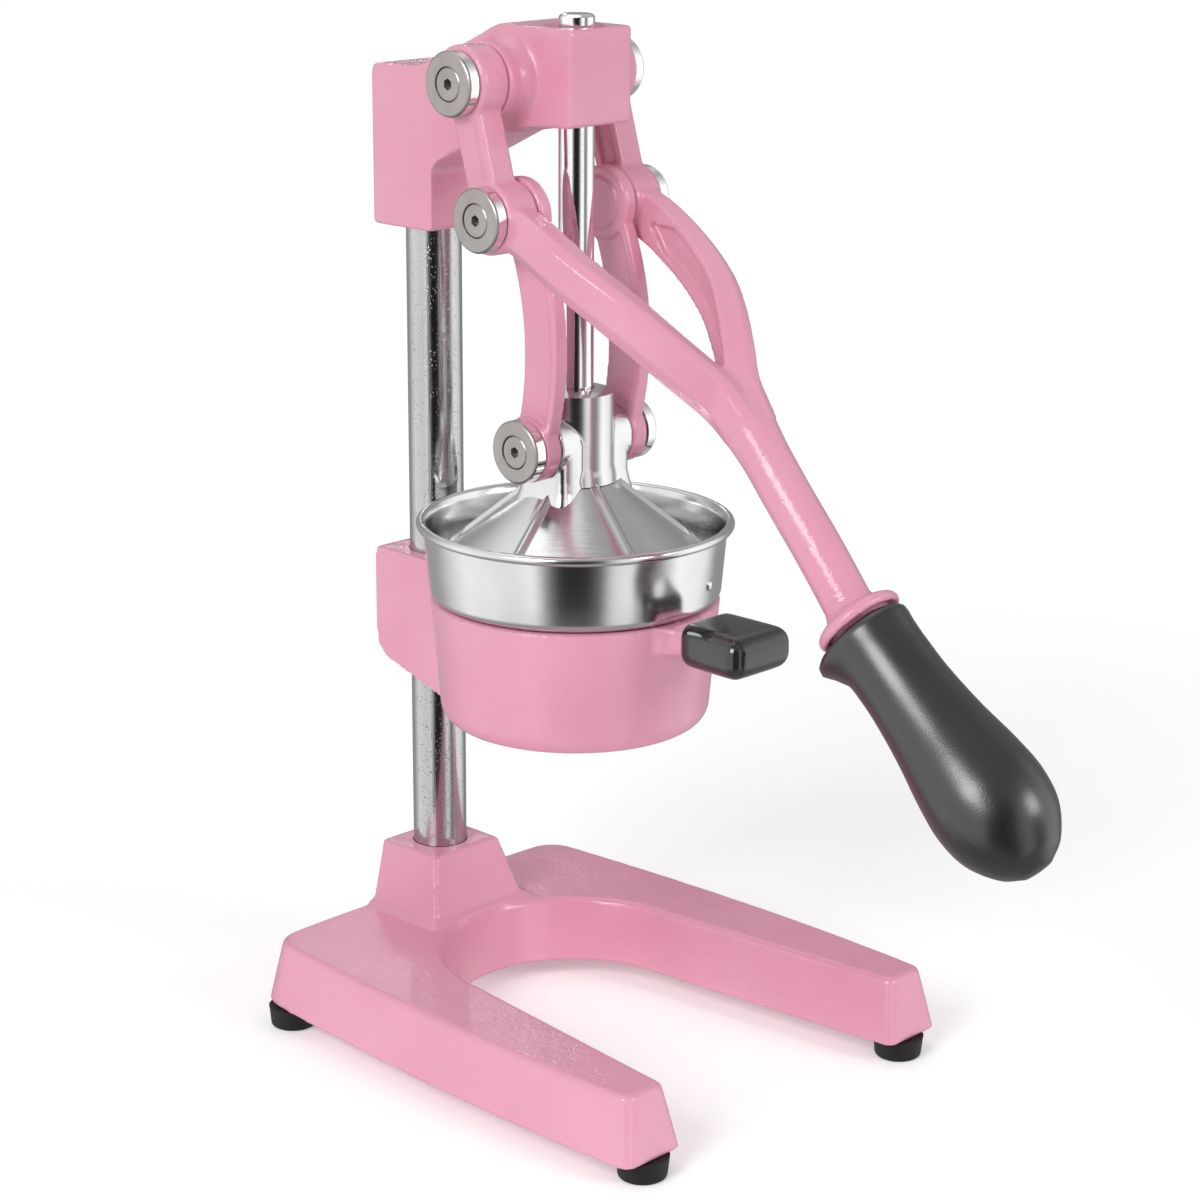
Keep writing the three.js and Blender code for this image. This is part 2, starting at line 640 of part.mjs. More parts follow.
function bracketCasting() {
  const rear = COLUMN_Y + BRACKET_REAR;
  const ringOutside = turned([
    [0, RING_BOTTOM],
    [RING_BOTTOM_R - 8, RING_BOTTOM],
    [RING_BOTTOM_R - 2.5, RING_BOTTOM + 2.5],
    [RING_BOTTOM_R, RING_BOTTOM + 8],
    [RING_TOP_R, RING_TOP],
    [0, RING_TOP],
  ], 32);
  const arm = plate(roundedOutline([
    [RING_BOTTOM_R / 2, RING_BOTTOM + 3, 1],
    [COLUMN_Y - 20, BRACKET_BOTTOM, 3],
    [rear, RING_BOTTOM + 9, 10],
    [rear, BRACKET_TOP, 5],
    [RING_TOP_R / 2, BRACKET_TOP - 2, 1],
  ]), -BRACKET_HALF, BRACKET_HALF, 4);
  const overRing = bar(BOWL_TOP_R + 1.5, RING_TOP, BRACKET_TOP + 1, 32);
  const stub = block(
    -STUB_HALF, STUB_HALF, FRONT_GRIP_REAR_Y + GAP, -RING_TOP_R / 2,
    FRONT_GRIP_BOTTOM + 2, RING_TOP);
  const inside = turned([
    [0, ringFloorTop],
    [RING_BOTTOM_R - RING_WALL - 6, ringFloorTop],
    [RING_BOTTOM_R - RING_WALL, ringFloorTop + 6],
    [RING_TOP_R - RING_WALL, RING_TOP + 1],
    [0, RING_TOP + 1],
  ], 32);
  const screwHole = bar(SCREW_R + GAP, -GAP, gripScrewReach, 16);
  const screwHeadHole = bar(GRIP_SCREW_HEAD_R + GAP, -RING_WALL - 10, GAP, 16);
  return cut(
    joined(solidOf(ringOutside), solidOf(arm), solidOf(stub)),
    solidOf(overRing),
    solidOf(inside),
    solidOf(bar(RING_HOLE_R, RING_BOTTOM - 1, ringFloorTop + 1, 24)),
    solidOf(bar(COLUMN_R + GAP, 0, BRACKET_TOP + 10, 32).translate(0, COLUMN_Y, 0)),
    solidOf(ontoGripScrewAxis(screwHole)),
    solidOf(ontoGripScrewAxis(screwHeadHole)),
    ...BRACKET_SCREW_Z.map((z) => solidOf(setScrewHole(z))),
  );
}

// Turns a piece made along +Z onto the screw's axis, towards the front from its seat.
function ontoGripScrewAxis(geometry) {
  return geometry.rotateX(Math.PI / 2).translate(0, gripScrewSeatY, gripScrewZ);
}

// A rounded block lying across the front of the ring, with a screw hole in its back.
function frontGrip() {
  const height = FRONT_GRIP_TOP - FRONT_GRIP_BOTTOM;
  const shape = roundedOutline([
    [FRONT_GRIP_HALF - 3, FRONT_GRIP_REAR_Y, 6],
    [FRONT_GRIP_HALF, FRONT_GRIP_FRONT_Y, 7],
    [-FRONT_GRIP_HALF, FRONT_GRIP_FRONT_Y, 7],
    [3 - FRONT_GRIP_HALF, FRONT_GRIP_REAR_Y, 6],
  ]);
  const rounded = new THREE.ExtrudeGeometry(shape, {
    depth: height - 2 * FRONT_GRIP_EDGE,
    bevelEnabled: true,
    bevelThickness: FRONT_GRIP_EDGE,
    bevelSize: FRONT_GRIP_EDGE,
    bevelOffset: -FRONT_GRIP_EDGE,
    bevelSegments: 3,
    curveSegments: 4,
  }).translate(0, 0, FRONT_GRIP_BOTTOM + FRONT_GRIP_EDGE);
  const hole = bar(SCREW_R + GAP, 0, gripScrewReach + 1, 16);
  return cut(solidOf(rounded), solidOf(ontoGripScrewAxis(hole)));
}

function frontGripScrew() {
  return ontoGripScrewAxis(turned([
    [0, -GRIP_SCREW_HEAD],
    [GRIP_SCREW_HEAD_R, -GRIP_SCREW_HEAD],
    [GRIP_SCREW_HEAD_R, 0],
    [SCREW_R, 0],
    [SCREW_R, gripScrewReach],
    [0, gripScrewReach],
  ], 16));
}

piece("bracket_ring", geometryOf(bracketCasting()), "pinkEnamel");
BRACKET_SCREW_Z.forEach((z, i) => {
  placeSetScrew("bracket_set_screw_" + (i + 1), BRACKET_REAR, z);
});
piece("front_grip", geometryOf(frontGrip()), "blackGloss");
piece("front_grip_screw", frontGripScrew(), "zincSteel");

// ---------------------------------------------------------------- bowl and juicing cone

function bowl() {
  const rimZ = BOWL_RIM_TOP - BOWL_RIM_ROLL;
  const inFoot = BOWL_FOOT_R - BOWL_WALL;
  const inShoulder = BOWL_SHOULDER_Z + BOWL_WALL;
  const neckBottom = RING_BOTTOM + 18;
  const spoutTop = neckBottom - 8;
  return turned([
    [BOWL_RIM_R - BOWL_RIM_ROLL, BOWL_RIM_TOP],
    [BOWL_TOP_R - BOWL_WALL, BOWL_RIM_TOP - 1.2],
    [inFoot, inShoulder + 4],
    [inFoot - 4, inShoulder],
    [BOWL_NECK_R - BOWL_WALL, inShoulder],
    [BOWL_NECK_R - BOWL_WALL - 2, neckBottom + 6],
    [SPOUT_R + 4, spoutTop + 2],
    [SPOUT_R - BOWL_WALL, spoutTop - 2],
    [SPOUT_R - BOWL_WALL - 1, SPOUT_BOTTOM],
    [SPOUT_R - 1, SPOUT_BOTTOM],
    [SPOUT_R, spoutTop - 3],
    [SPOUT_R + 4, spoutTop + 2 - BOWL_WALL],
    [BOWL_NECK_R - 2, neckBottom + 6 - BOWL_WALL],
    [BOWL_NECK_R, BOWL_SHOULDER_Z],
    [BOWL_FOOT_R - 4, BOWL_SHOULDER_Z],
    [BOWL_FOOT_R, BOWL_SHOULDER_Z + 4],
    [BOWL_TOP_R, rimZ - BOWL_RIM_ROLL],
    [BOWL_RIM_R - 0.6, rimZ - BOWL_RIM_ROLL + 0.2],
    [BOWL_RIM_R, rimZ],
    [BOWL_RIM_R - 0.5, BOWL_RIM_TOP - 0.5],
  ], 32);
}

const juicerSeat = BOWL_SHOULDER_Z + BOWL_WALL + GAP;

function juicerSlot(i) {
  const turn = (i / JUICER_SLOTS) * 2 * Math.PI;
  const start = JUICER_BASE_R - SLOT_LENGTH - 5;
  const slot = block(
    start, start + SLOT_LENGTH, -SLOT_WIDTH / 2, SLOT_WIDTH / 2,
    juicerSeat - 5, juicerSeat + JUICER_RISE + 5);
  return slot.rotateZ(turn);
}

function juicingCone() {
  const top = juicerSeat + JUICER_WALL;
  const apex = top + JUICER_RISE;
  const midR = (JUICER_BASE_R + JUICER_APEX_R) / 2;
  const midZ = top + JUICER_RISE * 0.58;
  const shell = turned([
    [0, apex],
    [JUICER_APEX_R, apex - 1.5],
    [midR, midZ],
    [JUICER_BASE_R, top],
    [JUICER_FLANGE_R, top],
    [JUICER_FLANGE_R, juicerSeat],
    [JUICER_BASE_R - JUICER_WALL, juicerSeat],
    [midR - JUICER_WALL, midZ - JUICER_WALL],
    [JUICER_APEX_R - 1, apex - 1.5 - JUICER_WALL],
    [0, apex - 1.5 - JUICER_WALL],
  ], 28);
  const slots = Array.from({ length: JUICER_SLOTS }, (unused, i) => solidOf(juicerSlot(i)));
  return cut(solidOf(shell), ...slots);
}

piece("bowl", bowl(), "stainless");
piece("juicing_cone", geometryOf(juicingCone()), "stainless");

// ---------------------------------------------------------------- press hub, cone and rod

const rodShoulder = HUB_BOTTOM + 10;
const earScrewBite = EAR_OUT_X - ROD_R - 2;

function pressHub() {
  const body = turned([
    [0, HUB_BOTTOM],
    [HUB_R, HUB_BOTTOM],
    [HUB_R, HUB_TOP - 1.5],
    [HUB_R - 1.5, HUB_TOP],
    [0, HUB_TOP],
  ], 32);
  const cheekFoot = block(-EAR_OUT_X, EAR_OUT_X, -EAR_R, EAR_R, HUB_BOTTOM - 1, PIVOT_C.z);
  const underside = block(-60, 60, -60, 60, 0, HUB_BOTTOM);
  const whole = joined(
    solidOf(body), solidOf(crossBar(PIVOT_C, EAR_R, -EAR_OUT_X, EAR_OUT_X)), solidOf(cheekFoot));
  return cut(
    whole,
    solidOf(underside),
    solidOf(bar(ROD_NECK_R + GAP, 0, rodShoulder, 24)),
    solidOf(bar(ROD_R + GAP, rodShoulder - GAP, HUB_TOP + 1, 28)),
    ...SIDES.map(([, side]) => solidOf(crossBar(
      PIVOT_C, SCREW_R + GAP, side * (EAR_OUT_X + 1), side * (EAR_OUT_X - earScrewBite), 16))),
  );
}

function coneRib(i) {
  const turn = CONE_RIB_TURN + (i / CONE_RIBS) * 2 * Math.PI;
  const run = CONE_R - HUB_R;
  const slope = (CONE_TOP - CONE_RIM_Z) / run;
  const start = HUB_R + CONE_RIB_RISE / slope; // where the rib comes out of the flat top
  const outline = new THREE.Shape([
    point(start, CONE_TOP - 3 - CONE_RIB_RISE),
    point(CONE_R - 7, CONE_RIM_Z + slope * 7 - 2),
    point(CONE_R - 4, CONE_RIM_Z + slope * 4 + 0.2),
    point(CONE_R - 6, CONE_RIM_Z + slope * 6 + CONE_RIB_RISE),
    point(start, CONE_TOP),
  ]);
  const rib = new THREE.ExtrudeGeometry(outline, { depth: 3, bevelEnabled: false });
  return rib.translate(0, 0, -1.5).rotateX(Math.PI / 2).rotateZ(turn);
}

function pressCone() {
  const seat = HUB_R - 1;
  const shell = turned([
    [ROD_NECK_R + GAP, CONE_TOP],
    [seat, CONE_TOP],
    [CONE_R - 2, CONE_RIM_Z + 1.2],
    [CONE_R, CONE_RIM_Z - 0.6],
    [CONE_R - 1, CONE_RIM_Z - 2.6],
    [CONE_R - 3.4, CONE_RIM_Z - 1.6],
    [seat - 1, CONE_TOP - CONE_WALL],
    [ROD_NECK_R + GAP, CONE_TOP - CONE_WALL],
  ], 32);
  const ribs = Array.from({ length: CONE_RIBS }, (unused, i) => solidOf(coneRib(i)));
  return joined(solidOf(shell), ...ribs);
}

function guideRod() {
  const bottom = CONE_TOP - CONE_WALL - GAP - NUT_HEIGHT - 1;
  return turned([
    [0, bottom],
    [ROD_NECK_R - 0.8, bottom],
    [ROD_NECK_R, bottom + 0.8],
    [ROD_NECK_R, rodShoulder + GAP],
    [ROD_R, rodShoulder + GAP],
    [ROD_R, ROD_TOP - 3],
    [ROD_R - 1, ROD_TOP - 1],
    [ROD_R - 3, ROD_TOP],
    [0, ROD_TOP],
  ], 24);
}

function rodNut() {
  const top = CONE_TOP - CONE_WALL - GAP;
  const blank = slab(hexagon(2 * NUT_R * Math.cos(Math.PI / SOCKET_SIDES)), top - NUT_HEIGHT, top);
  return cut(solidOf(blank), solidOf(bar(ROD_NECK_R + GAP, 0, ROD_TOP, 24)));
}

piece("press_hub", geometryOf(pressHub()), "castAluminium");
piece("press_cone", geometryOf(pressCone()), "castAluminium");
piece("guide_rod", guideRod(), "chrome");
piece("rod_nut", geometryOf(rodNut()), "stainless");

// ---------------------------------------------------------------- links

// The flat bar between the eyes, bowed towards the front.
function linkBarOutline() {
  const half = LINK_WIDTH / 2;
  const lean = Math.atan2(PIVOT_B.y - PIVOT_C.y, PIVOT_B.z - PIVOT_C.z);
  const along = (share, across) => [
    PIVOT_C.y + share * LINK_LENGTH * Math.sin(lean) + across * Math.cos(lean),
    PIVOT_C.z + share * LINK_LENGTH * Math.cos(lean) - across * Math.sin(lean),
  ];
  const shape = new THREE.Shape();
  shape.moveTo(...along(0, -half));
  shape.quadraticCurveTo(...along(0.5, -half - 2 * LINK_BOW), ...along(1, -half));
  shape.lineTo(...along(1, half));
  shape.quadraticCurveTo(...along(0.5, half - 2 * LINK_BOW), ...along(0, half));
  shape.closePath();
  return shape;
}

function link(side) {
  const eyes = [
    solidOf(crossBar(PIVOT_B, LINK_UPPER_R, side * LINK_IN_X, side * LINK_OUTER_X)),
    solidOf(crossBar(PIVOT_C, LINK_LOWER_R, side * LINK_IN_X, side * LINK_LOWER_OUTER_X)),
  ];
  const web = solidOf(plate(linkBarOutline(), side * (LINK_IN_X + 0.8), side * LINK_OUTER_X, 10));
  const blindR = JOURNAL_R + LINK_BUSH_WALL + 2 * GAP;
  const blind = crossBar(
    PIVOT_B, blindR, side * (LINK_OUTER_X - LINK_BUSH_DEPTH), side * (LINK_OUTER_X + 1));
  const eyeHole = crossBar(PIVOT_C, JOURNAL_R + GAP, 0, side * 60);
  return cut(joined(web, ...eyes), solidOf(blind), solidOf(eyeHole));
}

function linkBush(side) {
  const inner = JOURNAL_R + GAP;
  const outer = inner + LINK_BUSH_WALL;
  const length = LINK_BUSH_DEPTH - 2 * GAP;
  const start = side > 0 ? LINK_OUTER_X - GAP - length : GAP - LINK_OUTER_X;
  return turned([[inner, 0], [outer, 0], [outer, length], [inner, length]], 24)
    .rotateY(Math.PI / 2)
    .translate(start, PIVOT_B.y, PIVOT_B.z);
}

for (const [name, side] of SIDES) {
  piece("link_" + name, geometryOf(link(side)), "pinkEnamel");
  piece("link_bush_" + name, linkBush(side), "bronze");
}

// ---------------------------------------------------------------- lever

// The middle of the lever's fork and shaft: each place along Y with its drop below pivot B.
const LEVER_COURSE = [[-30, 17.8], [-50, 30.8], [-70, 49.3], [-84, 63.8], [-97, 77.8], [-112, 95.3]];
const SHAFT_LAST = [-128, 113.3];
const coursePoint = ([y, drop]) => point(y, PIVOT_B.z - drop);

const leverCourse = new THREE.SplineCurve([
  point(PIVOT_B.y + 6, PIVOT_B.z + 2),
  point(PIVOT_B.y - 17, PIVOT_B.z - 9),
  ...LEVER_COURSE.map(coursePoint),
]);

// The course's height at a place along Y, and how much longer it runs than its Y.
function courseAt(y) {
  let low = 0;
  let high = 1;
  for (let i = 0; i < 24; i += 1) {
    const middle = (low + high) / 2;
    if (leverCourse.getPoint(middle).x > y) low = middle;
    else high = middle;
  }
  const direction = leverCourse.getTangent(low);
  return { z: leverCourse.getPoint(low).y, steep: 1 / Math.max(Math.abs(direction.x), 0.3) };
}

// The fork seen from above, from the cheeks to where both arms meet the shaft. Each arm's
// outer side is given by its share of the way from the shaft's side out to the cheek's, and
// its inner side by its share of the cheek's inner face.
const ARM_OUTER = [[-30, 0.957], [-50, 0.79], [-61, 0.605], [-72, 0.327], [-83, 0.096]];
const ARM_INNER = [[-30, 0.944], [-47, 0.764], [-61, 0.498], [-74, 0.249]];
const CROTCH_Y = -79;
const SHAFT_TOP_Y = -98;
const FORK_END_Y = -108;

function forkOutline() {
  const inner = LEVER_INNER_X + 1.5;
  const top = PIVOT_B.y + 2;
  const outside = [
    point(LEVER_OUTER_X + 0.4, -10),
    ...ARM_OUTER.map(([y, share]) => point(SHAFT_R + share * (LEVER_OUTER_X - SHAFT_R), y)),
    point(SHAFT_R, SHAFT_TOP_Y),
    point(SHAFT_R, FORK_END_Y),
  ];
  const inside = [
    point(inner, -12),
    ...ARM_INNER.map(([y, share]) => point(share * inner, y)),
  ];
  const across = (at) => point(-at.x, at.y);
  const shape = new THREE.Shape();
  shape.moveTo(LEVER_OUTER_X, top);
  shape.splineThru(outside);
  shape.lineTo(-SHAFT_R, FORK_END_Y);
  shape.splineThru([...outside.map(across).reverse().slice(1), point(-LEVER_OUTER_X, top)]);
  shape.lineTo(-inner, top);
  shape.splineThru([...inside.map(across), point(0, CROTCH_Y), ...inside.reverse(), point(inner, top)]);
  shape.closePath();
  return shape;
}

function fork() {
  const flat = slab(forkOutline(), -ARM_DEPTH / 2, ARM_DEPTH / 2, 2);
  return reshaped(flat, (at) => {
    const course = courseAt(at.y);
    at.z = course.z + at.z * course.steep * 0.92;
  });
}

function cheekOutline() {
  const lean = Math.atan2(PIVOT_A.y - PIVOT_B.y, PIVOT_A.z - PIVOT_B.z);
  const across = [CHEEK_HALF * Math.cos(lean), -CHEEK_HALF * Math.sin(lean)];
  return new THREE.Shape([
    point(PIVOT_B.y - across[0], PIVOT_B.z - across[1]),
    point(PIVOT_B.y + across[0], PIVOT_B.z + across[1]),
    point(PIVOT_A.y + across[0], PIVOT_A.z + across[1]),
    point(PIVOT_A.y - across[0], PIVOT_A.z - across[1]),
  ]);
}

const gripDirection = { y: -Math.cos(GRIP_SLOPE), z: -Math.sin(GRIP_SLOPE) };

// Turns a piece made along +Z onto the grip's axis, a distance back from the grip's start.
function ontoGripAxis(geometry, back = 0) {
  return geometry
    .translate(0, 0, -back)
    .rotateX(Math.PI / 2 + GRIP_SLOPE)
    .translate(0, GRIP_START.y, GRIP_START.z);
}

function shaft() {
  const end = point(GRIP_START.y - 8 * gripDirection.y, GRIP_START.z - 8 * gripDirection.z);
  const places = [...LEVER_COURSE.slice(3), SHAFT_LAST].map(coursePoint);
  const course = new THREE.CatmullRomCurve3(
    [...places, end].map((at) => new THREE.Vector3(0, at.x, at.y)));
  const section = new THREE.Shape().absarc(0, 0, SHAFT_R, 0, 2 * Math.PI, false);
  return new THREE.ExtrudeGeometry(section, {
    steps: 9, bevelEnabled: false, extrudePath: course, curveSegments: 9,
  });
}

function collar() {
  const edge = 1.5;
  return ontoGripAxis(turned([
    [0, 0],
    [SHAFT_R, 0],
    [COLLAR_R - edge, edge],
    [COLLAR_R, edge + 1.5],
    [COLLAR_R, COLLAR_THICKNESS - edge],
    [COLLAR_R - edge, COLLAR_THICKNESS],
    [0, COLLAR_THICKNESS],
  ], 36), COLLAR_THICKNESS + GAP);
}

function leverCasting() {
  const cheeks = SIDES.flatMap(([, side]) => [
    solidOf(crossBar(PIVOT_A, LEVER_A_R, side * LEVER_INNER_X, side * LEVER_OUTER_X)),
    solidOf(crossBar(PIVOT_B, LEVER_B_R, side * LEVER_INNER_B_X, side * LEVER_OUTER_X)),
    solidOf(plate(cheekOutline(), side * LEVER_INNER_X, side * (LEVER_OUTER_X - 1))),
  ]);
  const holes = SIDES.flatMap(([, side]) => [
    solidOf(crossBar(PIVOT_A, JOURNAL_R + GAP, side * (LEVER_INNER_X - 1), side * 60)),
    solidOf(crossBar(PIVOT_B, JOURNAL_R + GAP, side * (LEVER_INNER_B_X - 1), side * 60)),
    capSpace(PIVOT_A, side),
    capSpace(PIVOT_B, side),
  ]);
  const studHole = ontoGripAxis(bar(STUD_R + GAP, 0, 20, 16), 18);
  return cut(joined(solidOf(fork()), solidOf(shaft()), solidOf(collar()), ...cheeks),
    ...holes, solidOf(studHole));
}

// Keeps the fork clear of a cap's disc.
function capSpace(pivot, side) {
  return solidOf(crossBar(pivot, CAP_R + GAP, side * LEVER_OUTER_X, side * (LEVER_OUTER_X + 12)));
}

function gripStud() {
  return bar(STUD_R, 0, STUD_LENGTH, 20);
}

function leverGrip() {
  const profile = new THREE.SplineCurve([
    point(GRIP_NECK_R + 1.2, 5),
    point(GRIP_NECK_R, 15),
    point(GRIP_NECK_R + 0.6, 30),
    point(GRIP_NECK_R + 2.4, 48),
    point(GRIP_BULB_R - 1.2, 66),
    point(GRIP_BULB_R, 80),
    point(GRIP_BULB_R - 2.6, 93),
    point(GRIP_BULB_R / 2 + 2, GRIP_LENGTH - 5),
    point(6, GRIP_LENGTH - 0.6),
  ]).getPoints(14).map((at) => [at.x, at.y]);
  const blank = turned([[0, 0], [GRIP_NECK_R - 1, 0], ...profile, [0, GRIP_LENGTH]], 28);
  return cut(solidOf(blank), solidOf(bar(STUD_R + GAP, -1, STUD_LENGTH - 16 + GAP, 20)));
}

piece("lever_casting", geometryOf(leverCasting()), "pinkEnamel");
piece("grip_stud", ontoGripAxis(gripStud(), 16), "zincSteel");
piece("lever_grip", ontoGripAxis(geometryOf(leverGrip())), "blackSatin");

// ---------------------------------------------------------------- pivots

// A cap disc with a journal that reaches inwards, made along +Z from the cap's outer face.
function pivotCap(reach) {
  const edge = 0.8;
  const hole = SCREW_R + GAP;
  const sink = SCREW_HEAD_R + GAP;
  return turned([
    [sink, 0],
    [CAP_R - edge, 0],
    [CAP_R, edge],
    [CAP_R, CAP_THICKNESS],
    [JOURNAL_R, CAP_THICKNESS],
    [JOURNAL_R, reach],
    [hole, reach],
    [hole, SCREW_HEAD_DEPTH],
    [sink, 0.7],
  ], 22);
}

function pivotScrew(length) {
  const blank = turned([
    [0, 0.2],
    [SCREW_HEAD_R, 0.2],
    [SCREW_HEAD_R, 0.7],
    [SCREW_R, SCREW_HEAD_DEPTH],
    [SCREW_R, length],
    [0, length],
  ], 14);
  const socket = slab(hexagon(HEX_SOCKET), -1, HEX_DEPTH);
  return geometryOf(cut(solidOf(blank), solidOf(socket)));
}

// Both are put in from outside: turned so that +Z points inwards at the cap's outer face.
function placePivot(name, pivot, capInnerX, journalEndX, screwEndX) {
  const faceX = capInnerX + CAP_THICKNESS;
  for (const [sideName, side] of SIDES) {
    const holder = new THREE.Group();
    holder.position.set(side * faceX, pivot.y, pivot.z);
    holder.rotation.y = (-side * Math.PI) / 2;
    piece(name + "_cap_" + sideName, pivotCap(faceX - journalEndX), "satinNickel", holder);
    piece(name + "_screw_" + sideName, pivotScrew(faceX - screwEndX), "satinNickel", holder);
    press.add(holder);
  }
}

const leverCapX = LEVER_OUTER_X + GAP;
placePivot("lever_pivot", PIVOT_A, leverCapX, LEVER_INNER_X, HEAD_BOSS_X - SCREW_GRIP + GAP);
placePivot("crank_pivot", PIVOT_B, leverCapX, LEVER_INNER_B_X, LEVER_INNER_B_X);
placePivot("press_pivot", PIVOT_C, LINK_LOWER_OUTER_X + GAP, EAR_OUT_X + GAP,
  EAR_OUT_X - earScrewBite + GAP);

// ---------------------------------------------------------------- frame

// The origin is under the middle of the whole press, on the surface that it stands on.
const extent = new THREE.Box3().setFromObject(press);
press.position.y = -(extent.min.y + extent.max.y) / 2;

const citrusPress = new THREE.Group();
citrusPress.add(press);
export default citrusPress;
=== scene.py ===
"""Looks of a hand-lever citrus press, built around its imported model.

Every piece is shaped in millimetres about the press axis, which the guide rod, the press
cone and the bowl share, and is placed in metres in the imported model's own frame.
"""

import sys

import logging
import math
from dataclasses import dataclass, field
from enum import Enum
from typing import Callable, Iterable, Sequence

import bmesh
import bpy
from mathutils import Matrix, Vector


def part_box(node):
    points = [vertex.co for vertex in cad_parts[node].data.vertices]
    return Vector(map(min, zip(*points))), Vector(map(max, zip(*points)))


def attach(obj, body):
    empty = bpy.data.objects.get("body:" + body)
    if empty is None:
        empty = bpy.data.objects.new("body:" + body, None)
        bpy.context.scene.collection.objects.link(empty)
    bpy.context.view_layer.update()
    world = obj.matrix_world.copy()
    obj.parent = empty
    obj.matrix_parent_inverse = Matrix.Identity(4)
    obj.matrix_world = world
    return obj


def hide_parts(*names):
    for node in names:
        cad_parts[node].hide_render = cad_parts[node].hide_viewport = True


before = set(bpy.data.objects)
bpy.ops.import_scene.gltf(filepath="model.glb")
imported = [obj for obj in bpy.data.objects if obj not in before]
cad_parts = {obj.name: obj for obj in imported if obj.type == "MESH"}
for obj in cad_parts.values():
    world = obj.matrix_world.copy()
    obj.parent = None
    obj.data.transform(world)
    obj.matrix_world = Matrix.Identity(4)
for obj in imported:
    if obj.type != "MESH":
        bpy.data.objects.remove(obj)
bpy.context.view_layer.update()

LOG = logging.getLogger("citrus_press")
MM = 0.001
FULL_TURN = 2 * math.pi
QUARTER_TURN = math.pi / 2
FIT_GAP = 0.3  # between a casting's bore and the bar that it holds
SET_SCREW_RADIUS = 4.3
JOURNAL_BORE = 7.3
SIDES = (("left", -1), ("right", 1))
FEET = ("front_left", "front_right", "rear_left", "rear_right")

Point = tuple[float, float]


# ---------------------------------------------------------------- places from the frame


@dataclass(frozen=True)
class Box:
    """A node's box in millimetres about the press axis."""

    low: Vector
    high: Vector

    @classmethod
    def of(cls, node: str) -> "Box":
        """Reads a node's box from the frame.

        Args:
            node: the CAD node's name.

        Returns:
            Its box about the press axis.
        """
        rod_low, rod_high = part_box("guide_rod")
        axis = Vector((0, (rod_low.y + rod_high.y) / 2, 0))
        low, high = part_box(node)
        return cls((low - axis) / MM, (high - axis) / MM)

    @property
    def centre(self) -> Vector:
        """The middle of the box."""
        return (self.low + self.high) / 2

    @property
    def size(self) -> Vector:
        """The box's extents."""
        return self.high - self.low


def row_frame() -> Matrix:
    """The matrix from millimetres about the press axis to metres in the row's frame."""
    low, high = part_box("guide_rod")
    return Matrix.Translation((0, (low.y + high.y) / 2, 0)) @ Matrix.Scale(MM, 4)


class Axis(Enum):
    """The direction that an outline is given depth along."""

    X = "x"
    Z = "z"

    def place(self, u: float, v: float, depth: float) -> tuple[float, float, float]:
        """Puts an outline's point at a depth: (Y, Z) outlines along X, (X, Y) along Z."""
        return (depth, u, v) if self is Axis.X else (u, v, depth)


# ---------------------------------------------------------------- curves


def bend(start: Point, control: Point, end: Point, steps: int = 8) -> list[Point]:
    """Points on a quadratic curve, without its first.

    Args:
        start: where the curve begins.
        control: the point that it bends towards.
        end: where it ends.
        steps: how many points it gives.

    Returns:
        The points after start, up to and with end.
    """
    points = []
    for i in range(1, steps + 1):
        t = i / steps
        weights = ((1 - t) ** 2, 2 * t * (1 - t), t * t)
        points.append(tuple(
            sum(w * p[k] for w, p in zip(weights, (start, control, end))) for k in (0, 1)))
    return points


def rounded(corners: Sequence[tuple[float, float, float]], steps: int = 6) -> list[Point]:
    """A closed outline through corners (u, v, radius), each rounded by its radius.

    Args:
        corners: the corners, in order.
        steps: points on each rounding.

    Returns:
        The outline.
    """
    outline: list[Point] = []
    count = len(corners)
    for i, (u, v, radius) in enumerate(corners):
        here = Vector((u, v))
        before = Vector(corners[i - 1][:2])
        after = Vector(corners[(i + 1) % count][:2])
        start = here + (before - here).normalized() * radius
        end = here + (after - here).normalized() * radius
        outline.append(tuple(start))
        outline.extend(bend(tuple(start), (u, v), tuple(end), steps))
    return outline


def arc(centre: Point, radius: float, start: float, end: float, steps: int) -> list[Point]:
    """Points on a circular arc from one angle to another, in degrees, with both ends."""
    angles = [math.radians(start + (end - start) * i / steps) for i in range(steps + 1)]
    return [(centre[0] + radius * math.cos(a), centre[1] + radius * math.sin(a)) for a in angles]


def course(points: Sequence[Vector], steps: int = 8) -> list[Vector]:
    """A smooth run of points through the given ones.

    Args:
        points: the places that the run passes through.
        steps: points for each stretch between two places.

    Returns:
        The run, from the first place to the last.
    """
    ends = [2 * points[0] - points[1], *points, 2 * points[-1] - points[-2]]
    run = []
    for before, here, ahead, after in zip(ends, ends[1:], ends[2:], ends[3:]):
        for i in range(steps):
            t = i / steps
            run.append(0.5 * (2 * here + (ahead - before) * t
                              + (2 * before - 5 * here + 4 * ahead - after) * t ** 2
                              + (3 * here - before - 3 * ahead + after) * t ** 3))
    run.append(points[-1].copy())
    return run


def ease(t: float) -> float:
    """A smooth step from 0 to 1."""
    t = min(1.0, max(0.0, t))
    return t * t * (3 - 2 * t)


# ---------------------------------------------------------------- shaping


